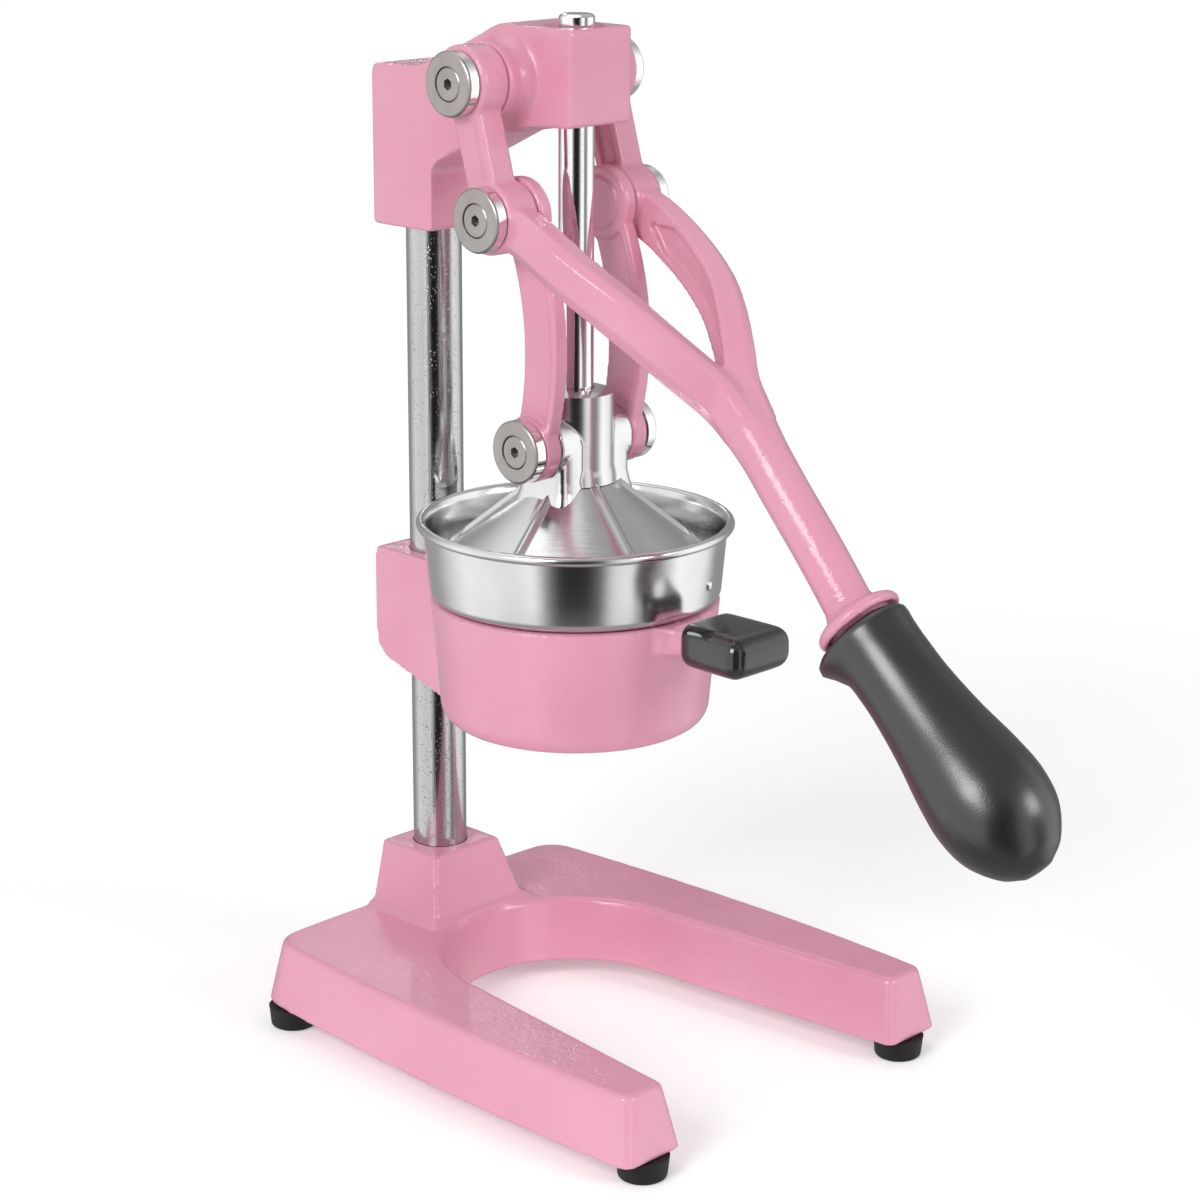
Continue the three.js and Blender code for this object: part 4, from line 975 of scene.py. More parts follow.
@dataclass
class Stand:
    """The cast base with its tower, the feet and the column."""

    draft: float = 4.6  # how far the base's sides lean in up to its top edge
    edge: float = 1.8
    front_corner: float = 5
    rear_corner: float = 15
    slot_front_half: float = 62
    slot_radius: float = 50
    wall: float = 9
    skin: float = 10
    tower_corner: float = 2
    ledge: float = 2.6
    grain: float = 1.0
    casting: Box = field(default_factory=lambda: Box.of("base_casting"))
    column_box: Box = field(default_factory=lambda: Box.of("column"))

    def outline(self, inset: float) -> list[Point]:
        """The base seen from above.

        Args:
            inset: how far inside the foot of its sides.

        Returns:
            Its closed outline.
        """
        front = self.casting.low.y + inset
        rear = self.casting.high.y - inset
        widest = self.casting.high.x - inset
        front_half = widest - 2.6
        rear_half = widest - 6.6
        middle = (widest + 3.4, (front + rear) / 2 - 12)
        slot_half = self.slot_front_half + inset
        corner = min(self.front_corner, 0.45 * (front_half - slot_half))
        back = self.rear_corner - inset / 2
        half = arc((0, 0), self.slot_radius + inset, 90, 0, 28)
        half.append((slot_half, front + corner))
        half += bend(half[-1], (slot_half, front), (slot_half + corner, front))
        half.append((front_half - corner, front))
        half += bend(half[-1], (front_half, front), (front_half + 0.8, front + corner))
        half += bend(half[-1], middle, (rear_half, rear - back), 30)
        half += bend(half[-1], (rear_half - 2, rear - 2), (rear_half - back, rear - 1), 10)
        half += bend(half[-1], (rear_half / 2, rear), (0, rear), 14)
        return half + [(-x, y) for x, y in half[-2:0:-1]]

    def tower(self, top: float, base_top: float) -> Form:
        """The tower, drawn in towards its top, with a low ledge round its foot.

        Args:
            top: the tower's top.
            base_top: the base's top face.

        Returns:
            The solid tower.
        """
        y = self.column_box.centre.y
        corner = self.tower_corner
        rings = []
        for z, half, ahead, behind in (
            (base_top - self.skin, 28.8, 27.8, 15.5),
            (base_top + self.ledge * 0.55, 28.5, 27.5, 15.5),
            (base_top + self.ledge, 25.5, 24.5, 15.5),
            (top, 18.8, 17, 16.5),
        ):
            outline = rounded([(half, y - ahead, corner), (half, y + behind, corner),
                               (-half, y + behind, corner), (-half, y - ahead, corner)])
            rings.append([Vector((u, v, z)) for u, v in outline])
        return Form.loft(rings)

    def base(self) -> bpy.types.Object:
        """The base casting, hollow below.

        Returns:
            The piece.
        """
        low = self.casting.low.z
        tower_top = self.casting.high.z
        top = low + 27
        levels = ((low, 0.6), (low + 1, 0), (top - self.edge, self.draft),
                  (top - 0.5, self.draft + 0.6), (top, self.draft + 1.8))
        rings = [[Vector((u, v, z)) for u, v in self.outline(inset)] for z, inset in levels]
        column = self.column_box
        pocket = Form.prism(self.outline(self.wall), low - 5, top - self.skin, Axis.Z)
        bosses = []
        for foot in FEET:
            place = Box.of(f"foot_{foot}").centre
            bosses.append(Form.bar(self.wall, low - 9, top, 40).shifted(*place.xy, 0))
        pocket.cut(*bosses, Form.bar(column.size.x / 2 + self.wall, low - 9, top)
                   .shifted(0, column.centre.y, 0))
        socket = Form.bar(column.size.x / 2 + FIT_GAP, column.low.z - FIT_GAP, tower_top + 9)
        bolt = Form.bar(12, low - 9, column.low.z - self.wall)
        form = Form.loft(rings).joined(self.tower(tower_top, top)).fused(self.grain, 3)
        form.cut(pocket, socket.shifted(0, column.centre.y, 0), bolt.shifted(0, column.centre.y, 0))
        return form.piece("base", PINK, "frame", "base_casting")

    def feet(self) -> None:
        """Four tapered rubber feet with a rounded tread and a sunk screw hole."""
        for foot in FEET:
            box = Box.of(f"foot_{foot}")
            radius = box.size.x / 2
            top = box.high.z
            profile = [(5, 0), *arc((radius - 2.3, 1.5), 1.5, -90, -5, 6),
                       (radius - 0.2, top - 1.2), (radius, top), (2.4, top),
                       (2.4, top / 2), (4.6, top / 2), (4.6, 0.4)]
            Form.lathe(profile, 64).shifted(*box.centre.xy, 0).piece(
                f"rubber_foot_{foot}", RUBBER, "frame", f"foot_{foot}")

    def column(self) -> bpy.types.Object:
        """The chromed column with broken edges at both ends.

        Returns:
            The piece.
        """
        box = self.column_box
        radius = box.size.x / 2
        profile = [(0, box.low.z), *arc((radius - 1, box.low.z + 1), 1, -90, 0, 4),
                   *arc((radius - 1, box.high.z - 1), 1, 0, 90, 4), (0, box.high.z)]
        return Form.lathe(profile, 128).shifted(0, box.centre.y, 0).piece(
            "chromed_column", COLUMN_CHROME, "frame", "column")

    def build(self) -> None:
        """Makes the whole stand."""
        self.base()
        self.feet()
        self.column()
        dress(ZINC, "column_bolt", "column_washer", *(f"foot_screw_{foot}" for foot in FEET))


# ---------------------------------------------------------------- head


@dataclass
class Head:
    """The casting on the column's top that carries the lever and guides the rod."""

    grain: float = 0.8
    boss_radius: float = 14.5
    dish_radius: float = 12.5
    casting: Box = field(default_factory=lambda: Box.of("head_casting"))
    column_box: Box = field(default_factory=lambda: Box.of("column"))
    pivot: Vector = field(default_factory=lambda: Box.of("lever_pivot_cap_left").centre)

    def body(self) -> Form:
        """The clamp block, the arm and the nose that the rod runs through.

        Returns:
            The solid shape.
        """
        box = self.casting
        front = self.column_box.centre.y - 18
        bottom = box.low.z
        block_top = box.high.z - 20
        nose = box.low.y
        outline = rounded([
            (front, bottom, 2), (box.high.y, bottom, 2), (box.high.y, block_top, 4),
            (front + 6, block_top, 12), (self.pivot.y + 4, box.high.z, 12),
            (nose, box.high.z, 2), (nose, box.high.z - 37, 2),
            (self.pivot.y + 2, box.high.z - 39, 6), (front, bottom + 27, 5)])
        form = Form.prism(outline, -18.3, 18.3, Axis.X)
        length = box.size.y

        def narrow(at: Vector) -> None:
            """Draws the sides in towards the nose."""
            at.x *= 1 - 0.1 * (box.high.y - at.y) / length

        return form.reshaped(narrow)

    def boss(self, side: int) -> Form:
        """A pivot boss that flares into the nose's side.

        Args:
            side: -1 or 1.

        Returns:
            The boss, with its end in the middle of the head.
        """
        out = self.casting.high.x
        radius = self.boss_radius
        profile = [(0, 0), (radius + 6.5, 0), (radius + 6.5, 15.8), (radius + 3.2, 17.2),
                   (radius + 1.2, 19.4), (radius, 22.6), (radius, out), (0, out)]
        return Form.lathe(profile).across(self.pivot, side)

    def build(self) -> None:
        """Makes the head and dresses what it holds."""
        box = self.casting
        form = self.body().joined(*(self.boss(side) for _, side in SIDES))
        form.fused(self.grain, 4)
        rod = Box.of("guide_rod").size.x / 2
        column_y = self.column_box.centre.y
        dish = Form.lathe([(0, box.high.z - 1.1), (self.dish_radius - 1.2, box.high.z - 1.1),
                           (self.dish_radius + 0.8, box.high.z + 1), (0, box.high.z + 1)])
        holes = [set_screw_hole(f"head_set_screw_{i}", column_y) for i in (1, 2)]
        form.cut(Form.bar(rod + FIT_GAP, box.low.z, box.high.z + 5), dish,
                 Form.bar(rod + 2.6, box.low.z, box.high.z - 3),
                 Form.bar(self.column_box.size.x / 2 + FIT_GAP, box.low.z - 5,
                          self.column_box.high.z)
                 .shifted(0, column_y, 0), *holes)
        form.piece("head", PINK, "frame", "head_casting")
        dress(BRONZE, "rod_guide_bush")
        dress(ZINC, "head_set_screw_1", "head_set_screw_2")


# ---------------------------------------------------------------- cup ring


@dataclass
class CupRing:
    """The bracket on the column with the ring that holds the bowl, and its front grip."""

    grain: float = 1.0
    wall: float = 5.5
    floor: float = 6
    taper: float = 4
    top_radius: float = 58.5
    hole_radius: float = 32
    half_width: float = 17
    rise: float = 4
    drop: float = 3
    casting: Box = field(default_factory=lambda: Box.of("bracket_ring"))
    column_box: Box = field(default_factory=lambda: Box.of("column"))
    grip: Box = field(default_factory=lambda: Box.of("front_grip"))

    def build(self) -> None:
        """Makes the ring and its grip."""
        self.ring()
        self.front_grip()
        dress(ZINC, "bracket_set_screw_1", "bracket_set_screw_2", "front_grip_screw")

    def ring(self) -> bpy.types.Object:
        """The casting: cup ring, bracket arm and the stub for the grip.

        Returns:
            The piece.
        """
        box = self.casting
        top = box.high.z - self.rise
        bottom = box.low.z + self.drop
        foot = self.top_radius - self.taper
        outside = Form.lathe([
            (0, bottom), (foot - 8, bottom), *arc((foot - 8, bottom + 8), 8, -90, -8, 8),
            (self.top_radius - 0.4, top - 3), (self.top_radius, top), (0, top)], 192)
        column_y = self.column_box.centre.y
        arm = Form.prism(rounded([
            (foot / 2, bottom + 3, 1), (column_y - 20, box.low.z, 3), (box.high.y, bottom + 9, 9),
            (box.high.y, box.high.z, 3), (self.top_radius / 2, box.high.z - 1.6, 1)]),
            -self.half_width, self.half_width, Axis.X)
        stub = Form.loft([
            [Vector((u, y, self.grip.centre.z - 1.4 + v)) for u, v in section(half, height, 5)]
            for y, half, height in (
                (-30, 16, 7.6), (-self.top_radius + 1, 13, 6.8), (-self.top_radius - 4, 9.5, 6),
                (self.grip.high.y - 0.1, 8.6, 5.6))])
        form = outside.joined(arm, stub).fused(self.grain, 4)
        inside = Form.lathe([
            (0, bottom + self.floor), (foot - self.wall - 6, bottom + self.floor),
            *arc((foot - self.wall - 6, bottom + self.floor + 6), 6, -90, 0, 6),
            (self.top_radius - self.wall, top + 1), (0, top + 1)], 160)
        seat = Form.bar(62.5, top, box.high.z + 5, 160)
        holes = [set_screw_hole(f"bracket_set_screw_{i}", column_y) for i in (1, 2)]
        bore = Form.bar(self.column_box.size.x / 2 + FIT_GAP, 0, box.high.z + 9)
        bore.shifted(0, column_y, 0)
        screw = Form.bar(5.3, 0, 9.2, 32).moved(Matrix.Rotation(QUARTER_TURN, 4, "X")).shifted(
            0, self.wall + 9.2 - self.top_radius, Box.of("front_grip_screw").centre.z)
        form.cut(inside, seat, Form.bar(self.hole_radius, 0, top), bore, screw, *holes)
        return form.piece("cup_ring", PINK, "frame", "bracket_ring")

    def front_grip(self) -> bpy.types.Object:
        """The thick, soft-cornered grip, a little narrower towards the ring.

        Returns:
            The piece.
        """
        box = self.grip
        form = Form()
        bmesh.ops.create_cube(form.bm, size=1)
        form.moved(Matrix.Translation(box.centre) @ Matrix.Diagonal((*box.size * 1.06, 1)))

        def taper(at: Vector) -> None:
            """Draws the rear in, and the top and underside down towards the front.

            Args:
                at: the point's place, which is changed.
            """
            if at.y > box.centre.y:
                at.x *= 0.84
            else:
                at.z += (box.centre.z - at.z) * 0.1

        form.reshaped(taper).bevelled(6.6, 8)
        form.modified("SUBSURF", levels=1, render_levels=1)
        return form.piece("front_grip_cover", BLACK_GLOSS, "frame", "front_grip", 60)


# ---------------------------------------------------------------- bowl


@dataclass
class Vessel:
    """The drawn steel bowl with its spout, and the juicing cone that stands in it."""

    wall: float = 1.2
    roll: float = 1.9
    dimple_azimuth: float = -72.6
    slots: int = 12
    rise: float = 30
    bowl_box: Box = field(default_factory=lambda: Box.of("bowl"))
    cone_box: Box = field(default_factory=lambda: Box.of("juicing_cone"))

    def bowl(self) -> bpy.types.Object:
        """The bowl: rolled rim, straight wall, round shoulder, neck and spout.

        Returns:
            The piece.
        """
        box = self.bowl_box
        rim = box.high.x
        top = box.high.z
        shoulder = Box.of("bracket_ring").high.z - 3.7
        body = rim - 3
        foot = body - 2
        neck = 51.5
        well = shoulder - 30
        spout = 13
        t = self.wall
        outer = [
            *arc((foot - 4, shoulder + 4), 4, -90, -4, 8), (body, top - 2 * self.roll - 1),
            *arc((rim - self.roll, top - self.roll), self.roll, -128, 150, 20)]
        inner = [
            (body - t, top - 2 * self.roll), (foot - t, shoulder + 7),
            *arc((foot - t - 4, shoulder + t + 4), 4, -10, -90, 6), (neck - t, shoulder + t),
            (neck - t - 2, well + 8), (neck - t - 5, well + 5.5), (spout + 5, well - 5.5),
            (spout - t, well - 9), (spout - t - 1, box.low.z)]
        under = [
            (spout - 1, box.low.z), (spout, well - 10), (spout + 5, well - 6.8),
            (neck - 4.6, well + 4), (neck - 2, well + 7), (neck, shoulder)]
        form = Form.lathe(under + outer + inner, 192)
        dimple = Form.lathe([(0, -1), (2.6, -1), (2.3, 0.2), (1.2, 0.75), (0, 0.9)], 32)
        turn = Matrix.Rotation(math.radians(self.dimple_azimuth), 4, "Z")
        dimple.moved(turn @ Matrix.Translation((body - 1.2, 0, shoulder + 11))
                     @ Matrix.Rotation(QUARTER_TURN, 4, "Y"))
        form.boolean("UNION", dimple)
        return form.piece("steel_bowl", STAINLESS, "frame", "bowl", 50)

    def juicing_cone(self) -> bpy.types.Object:
        """The slotted cone, with a rolled flange and ridges between its slots.

        Returns:
            The piece.
        """
        box = self.cone_box
        flange = box.high.x
        seat = box.low.z
        base = flange - 6.8
        top = seat + 1.6
        apex = box.high.z
        t = 1.6

        def height(radius: float) -> float:
            """The cone's height over its flange at a radius."""
            share = 1 - radius / base
            return top + (apex - top) * (0.62 * share + 0.38 * math.sin(share * math.pi / 2))

        radii = [0.5, 2, 4, 7, 11, 16, 21, 26, 31, 36, 41, 44, base]
        upper = [(0, apex), *((r, height(r)) for r in radii), (flange, top)]
        lower = [(flange, seat), (base - t, seat)]
        lower += [(r, height(r) - t) for r in reversed(radii[:-1])]
        form = Form.lathe(upper + lower + [(0, apex - t)], 288)
        count = self.slots

        def ridge(at: Vector) -> None:
            """Lifts ridges between the slots.

            Args:
                at: the point's place, which is changed.
            """
            radius = math.hypot(at.x, at.y)
            if 6 < radius < base:
                wave = math.cos(math.atan2(at.y, at.x) * count + math.pi)
                swell = math.sin(math.pi * (radius - 6) / (base - 6))
                at.z += 1.3 * max(0.0, wave) ** 2 * swell

        form.reshaped(ridge)
        for i in range(count):
            slot = Form.prism(
                [(x + base - 22, y) for x, y in section(8.5, 1.3, 3)], seat - 5, apex + 5, Axis.Z)
            form.cut(slot.moved(Matrix.Rotation(FULL_TURN * i / count, 4, "Z")))
        return form.piece("slotted_cone", STAINLESS, "frame", "juicing_cone", 50)

    def build(self) -> None:
        """Makes both."""
        self.bowl()
        self.juicing_cone()


# ---------------------------------------------------------------- press head


@dataclass
class PressHead:
    """The rod with the hub and the ribbed cone that it carries."""

    ribs: int = 6
    rib_turn: float = 14.3
    rib_half: float = 1.7
    rib_height: float = 1.9
    hub: Box = field(default_factory=lambda: Box.of("press_hub"))
    cone: Box = field(default_factory=lambda: Box.of("press_cone"))
    rod: Box = field(default_factory=lambda: Box.of("guide_rod"))
    pivot: Vector = field(default_factory=lambda: Box.of("press_pivot_cap_left").centre)

    def hub_casting(self) -> bpy.types.Object:
        """The hub: a collar about the rod, two ears, and a foot that spreads onto the cone.

        Returns:
            The piece.
        """
        box = self.hub
        radius = 15.4
        ear = 12.6
        skirt = box.low.z - 9
        out = box.high.x
        collar = Form.lathe([(0, skirt), (radius + 1.6, skirt), (radius + 0.6, box.low.z + 1),
                             (radius, box.low.z + 4), (radius, box.high.z), (0, box.high.z)], 128)
        ears = Form.bar(ear, -out, out, 96).across(self.pivot)
        cheek = Form.loft([
            [Vector((u, v, z)) for u, v in section(half_x, half_y, 7)]
            for z, half_x, half_y in (
                (skirt, out + 2.4, ear + 2), (box.low.z - 4, out + 0.8, ear + 0.8),
                (box.low.z + 0.4, out, ear), (self.pivot.z, out, ear))])
        form = collar.joined(ears, cheek).fused(0.55, 2)
        slope = self.cone.size.z / (self.cone.size.x / 2 - radius)
        under = box.low.z - 1.5
        below = Form.lathe([(0, under), (radius, under), (3 * radius, under - 2 * radius * slope),
                            (3 * radius, under - 60), (0, under - 60)])
        form.cut(below, Form.bar(self.rod.size.x / 2 + FIT_GAP, box.low.z - 9, box.high.z + 4),
                 Form.lathe([(self.rod.size.x / 2, box.high.z + 1), (radius + 1, box.high.z + 1),
                             (radius + 1, box.high.z - 1.8)]))
        return form.piece("press_hub_casting", ALUMINIUM, "press_head", "press_hub")

    def ribbed_cone(self) -> bpy.types.Object:
        """The polished cone with six low ribs and a turned-over rim.

        Returns:
            The piece.
        """
        box = self.cone
        rim = box.high.x
        top = box.high.z - 1.6
        seat = 15.2
        bore = 5.3
        rim_z = box.low.z + 2.6
        t = 2.4
        slope = (top - rim_z) / (rim - seat)
        radii = [seat + (rim - 3 - seat) * i / 26 for i in range(27)]
        upper = [(bore, top), *((r, top - slope * (r - seat) * 0.985) for r in radii)]
        upper += arc((rim - 1.6, rim_z - 0.2), 1.6, 60, -90, 8)
        lower = [(rim - 3.4, rim_z - 1.6), (seat - 1, top - t), (bore, top - t)]
        form = Form.lathe(upper + lower, 540)

        def rib(at: Vector) -> None:
            """Lifts the ribs, which fade out before the rim.

            Args:
                at: the point's place, which is changed.
            """
            radius = math.hypot(at.x, at.y)
            surface = top - slope * (radius - seat)
            if radius < seat + 0.5 or radius > rim - 3 or at.z < surface - 1.2:
                return
            step = FULL_TURN / self.ribs
            turn = math.atan2(at.y, at.x) - math.radians(self.rib_turn)
            off = abs((turn + step / 2) % step - step / 2) * radius
            fade = ease((rim - 3 - radius) / 4) * ease((radius - seat) / 2)
            at.z += self.rib_height * fade * (1 - ease(off / self.rib_half / 1.6))

        form.reshaped(rib)
        return form.piece("ribbed_cone", ALUMINIUM, "press_head", "press_cone", 50)

    def guide_rod(self) -> bpy.types.Object:
        """The rod: plain shaft, shoulder and threaded neck.

        Returns:
            The piece.
        """
        box = self.rod
        radius = box.size.x / 2
        shoulder = self.hub.low.z + 10.3
        thread = []
        turns = 9
        pitch = (shoulder - 1 - box.low.z) / turns
        for i in range(turns):
            z = box.low.z + 0.5 + i * pitch
            thread += [(4.5, z), (5, z + 0.5 * pitch)]
        top = box.high.z
        profile = [(0, box.low.z), (4, box.low.z), *thread, (5, shoulder), (radius, shoulder),
                   (radius, top - 1.1), (radius - 0.9, top - 0.2), (radius - 1.4, top), (0, top)]
        return Form.lathe(profile, 96).piece(
            "chromed_rod", ROD_CHROME, "press_head", "guide_rod", 30)

    def build(self) -> None:
        """Makes the press head."""
        self.hub_casting()
        self.ribbed_cone()
        self.guide_rod()
        dress(STAINLESS, "rod_nut")


# ---------------------------------------------------------------- links


@dataclass
class Links:
    """The two curved links between the lever and the hub."""

    grain: float = 0.62
    inner_face: float = 20
    width: float = 19
    bow: float = 9.5
    rim: float = 3.6
    upper_radius: float = 14.7
    lower_radius: float = 13
    upper: Vector = field(default_factory=lambda: Box.of("crank_pivot_cap_left").centre)
    lower: Vector = field(default_factory=lambda: Box.of("press_pivot_cap_left").centre)

    def band(self, inner: float, outer: float) -> list[Point]:
        """A bowed band of the link between two distances from its middle line.

        Args:
            inner: one edge's distance.
            outer: the other edge's distance.

        Returns:
            The closed outline.
        """
        along = Vector((self.upper.y - self.lower.y, self.upper.z - self.lower.z))
        over = Vector((along.y, -along.x)).normalized()
        start = Vector((self.lower.y, self.lower.z))
        belly = start + along / 2 - over * 2 * self.bow

        def edge(offset: float) -> list[Point]:
            """One bowed edge, from the lower pivot to the upper."""
            first = tuple(start + over * offset)
            control = tuple(belly + over * offset)
            return [first, *bend(first, control, tuple(start + along + over * offset), 24)]

        return edge(inner) + edge(outer)[::-1]

    def link(self, name: str, side: int) -> bpy.types.Object:
        """One link: eyes, a thin web and a raised rim along its front edge.

        Args:
            name: left or right.
            side: -1 or 1.

        Returns:
            The piece.
        """
        outer = Box.of(f"link_{name}")
        lower_out = outer.size.x + self.inner_face
        upper_out = self.inner_face + 6.4
        half = self.width / 2
        front, rear = -half, half

        def plate(outline: list[Point], near: float, far: float) -> Form:
            """A plate on this side, from one distance out to another."""
            return Form.prism(outline, *sorted((side * near, side * far)), Axis.X)

        def eye(pivot: Vector, radius: float, near: float, far: float) -> Form:
            """A disc on this side about a pivot."""
            return Form.lathe([(0, near), (radius - 0.9, near), (radius, near + 0.9),
                               (radius, far - 0.9), (radius - 0.9, far), (0, far)]
                              ).across(pivot, side)

        form = plate(self.band(front, rear), self.inner_face + 1.6, upper_out - 1.1)
        form.joined(
            plate(self.band(front, front + self.rim), self.inner_face + 0.3, upper_out),
            eye(self.upper, self.upper_radius, self.inner_face, upper_out),
            eye(self.upper, self.upper_radius - 4.2, self.inner_face - 1.1, upper_out),
            eye(self.lower, self.lower_radius, self.inner_face, lower_out))
        form.fused(self.grain, 4)
        form.cut(Form.bar(JOURNAL_BORE, 0, 60).across(self.lower, side),
                 Form.bar(JOURNAL_BORE + 2.2, upper_out - 4.5, 60).across(self.upper, side))
        return form.piece(f"cast_link_{name}", PINK, f"link_{name}", f"link_{name}")

    def build(self) -> None:
        """Makes both links."""
        for name, side in SIDES:
            self.link(name, side)
        dress(BRONZE, "link_bush_left", "link_bush_right")


# ---------------------------------------------------------------- lever


@dataclass
class Lever:
    """The forked casting with its short arms, long arms, shaft and collar, and the grip."""

    grain: float = 0.8
    inner_x: float = 28.6
    outer_x: float = 41.8
    inner_b_x: float = 26.7
    radius_a: float = 14.5
    radius_b: float = 14
    shaft_radius: float = 9.4
    slope: float = 41
    collar_radius: float = 17.3
    collar_thickness: float = 8
    upper: Vector = field(default_factory=lambda: Box.of("lever_pivot_cap_left").centre)
    elbow: Vector = field(default_factory=lambda: Box.of("crank_pivot_cap_left").centre)
    grip_start_y: float = -149.8
    grip_drop: float = 137.7  # below the elbow's pivot
    grip_length: float = 110.0
    grip_neck: float = 16.6
    grip_bulb: float = 23.2
    lip_flare: float = 7.5

    def centre_line(self) -> list[Vector]:
        """The middle of the shaft from the crotch to the collar."""
        drops = ((-84, 63.8), (-97, 77.8), (-112, 95.3), (-128, 113.3))
        places = [Vector((0, y, self.elbow.z - drop)) for y, drop in drops]
        return places + [self.grip_point(-8)]

    def grip_point(self, along: float) -> Vector:
        """A place on the grip's axis, a distance on from where the grip starts."""
        angle = math.radians(self.slope)
        start = Vector((0, self.grip_start_y, self.elbow.z - self.grip_drop))
        return start + Vector((0, -math.cos(angle), -math.sin(angle))) * along

    def arm_line(self, side: int) -> list[Vector]:
        """The middle of a long arm, from its pivot down to the crotch."""
        places = ((35.2, 4, 1), (35.8, -12, 7.4), (34.4, -30, 17.8), (29.2, -48, 29.4),
                  (22.2, -61, 40.4), (14.2, -72, 51.2), (6.4, -82, 61.6), (3, -92, 72.4))
        return [Vector((side * x, y, self.elbow.z - drop)) for x, y, drop in places]

    def long_arm(self, side: int) -> Form:
        """A long arm, deeper than it is wide, with a chamfered lower outer edge.

        Args:
            side: -1 or 1.

        Returns:
            The arm.
        """

        def ring_at(share: float) -> list[Point]:
            """The arm's section, thicker towards the crotch.

            Args:
                share: how far along, from 0 to 1.

            Returns:
                The section's points.
            """
            half = 6.1 + 0.6 * share
            up = 9.2 - 0.4 * share
            out = -side
            return [(out * u, v) for u, v in (
                (-half, -up), (-half, up), (0.45 * half, up), (half, up * 0.72),
                (half, -up * 0.42), (0.3 * half, -up))]

        arm = swept(course(self.arm_line(side), 6), ring_at)

        def groove_at(share: float) -> list[Point]:
            """The section of the recess along the arm's inner side.

            Args:
                share: how far along, from 0 to 1.

            Returns:
                The section's points.
            """
            open_share = ease(share / 0.12) * ease((1 - share) / 0.1)
            half = 0.5 + 4.9 * open_share
            inwards = side
            return [(inwards * u, v) for u, v in (
                (9, -half - 1.2), (9, half + 1.2), (3.7, half), (3.7, -half))]

        groove = swept(course(self.arm_line(side)[1:7], 6), groove_at)
        return arm.cut(groove)

    def short_arm(self, side: int) -> Form:
        """A short arm with its two pivot bosses and a sunk web.

        Args:
            side: -1 or 1.

        Returns:
            The arm.
        """
        lean = math.atan2(self.upper.y - self.elbow.y, self.upper.z - self.elbow.z)
        middle = Vector(((self.inner_x + self.outer_x) / 2 * side,
                         (self.upper.y + self.elbow.y) / 2, (self.upper.z + self.elbow.z) / 2))
        tilt = Matrix.Translation(middle) @ Matrix.Rotation(-lean, 4, "X")
        web = Form()
        bmesh.ops.create_cube(web.bm, size=1)
        web.moved(tilt @ Matrix.Diagonal((self.outer_x - self.inner_x - 0.8, 14.6, 46, 1)))
        for face, depth in ((side, 1.0), (-side, 3.4)):
            outline = rounded([(-3.9, -13, 3), (3.9, -13, 3), (3.9, 13, 3), (-3.9, 13, 3)])
            reach = (self.outer_x - self.inner_x) / 2
            low, high = sorted((face * (reach - depth), face * (reach + 4)))
            web.cut(Form.prism(outline, low, high, Axis.X).moved(tilt))
        bosses = []
        for pivot, radius, near in ((self.upper, self.radius_a, self.inner_x),
                                    (self.elbow, self.radius_b, self.inner_b_x)):
            bosses.append(Form.lathe([
                (0, near), (radius - 0.8, near), (radius, near + 0.8), (radius, self.outer_x - 0.8),
                (radius - 0.8, self.outer_x), (0, self.outer_x)]).across(pivot, side))
        return web.joined(*bosses)

    def shaft(self) -> Form:
        """The round shaft, a little deeper where the arms meet.

        Returns:
            The shaft.
        """

        def ring_at(share: float) -> list[Point]:
            """The shaft's section."""
            swell = 1 - ease(share / 0.35)
            return section(self.shaft_radius + 1.2 * swell, self.shaft_radius - 0.6 * swell,
                           2 + 1.2 * swell)

        return swept(course(self.centre_line(), 8), ring_at)

    def grip_frame(self, along: float = 0) -> Matrix:
        """Turns what is made along +Z onto the grip's axis, some way on from its start."""
        return (Matrix.Translation(self.grip_point(along))
                @ Matrix.Rotation(QUARTER_TURN + math.radians(self.slope), 4, "X"))

    def collar(self) -> Form:
        """The round collar, dished towards the grip.

        Returns:
            The collar.
        """
        t = self.collar_thickness
        radius = self.collar_radius
        profile = [(0, -t - 3), (self.shaft_radius, -t - 3), (self.shaft_radius + 1.2, -t),
                   (radius - 3, 1.6 - t), (radius - 0.7, 3 - t), (radius, 4.6 - t),
                   (radius - 0.3, -1.8), (radius - 1.4, -0.7), (radius - 2.6, -1.4),
                   (13.2, -4.6), (12.4, -4.6), (12.4, -0.4), (0, -0.4)]
        return Form.lathe(profile).moved(self.grip_frame(-0.3))

    def casting(self) -> bpy.types.Object:
        """The whole lever casting.

        Returns:
            The piece.
        """
        crotch = Form()
        bmesh.ops.create_uvsphere(crotch.bm, u_segments=48, v_segments=24, radius=1)
        direction = (self.centre_line()[1] - self.centre_line()[0]).normalized()
        crotch.moved(Matrix.Translation(self.centre_line()[0] + Vector((0, 2.4, 2.4)))
                     @ direction.to_track_quat("Z", "Y").to_matrix().to_4x4()
                     @ Matrix.Diagonal((12, 7.4, 13, 1)))
        form = self.shaft().joined(self.collar(), crotch)
        for _, side in SIDES:
            form.joined(self.long_arm(side), self.short_arm(side))
        form.fused(self.grain, 4)
        for _, side in SIDES:
            for pivot in (self.upper, self.elbow):
                form.cut(Form.bar(JOURNAL_BORE, self.inner_b_x - 4, 70).across(pivot, side),
                         Form.bar(13, self.outer_x + 0.05, 70).across(pivot, side))
        return form.piece("forked_lever", PINK, "lever", "lever_casting")

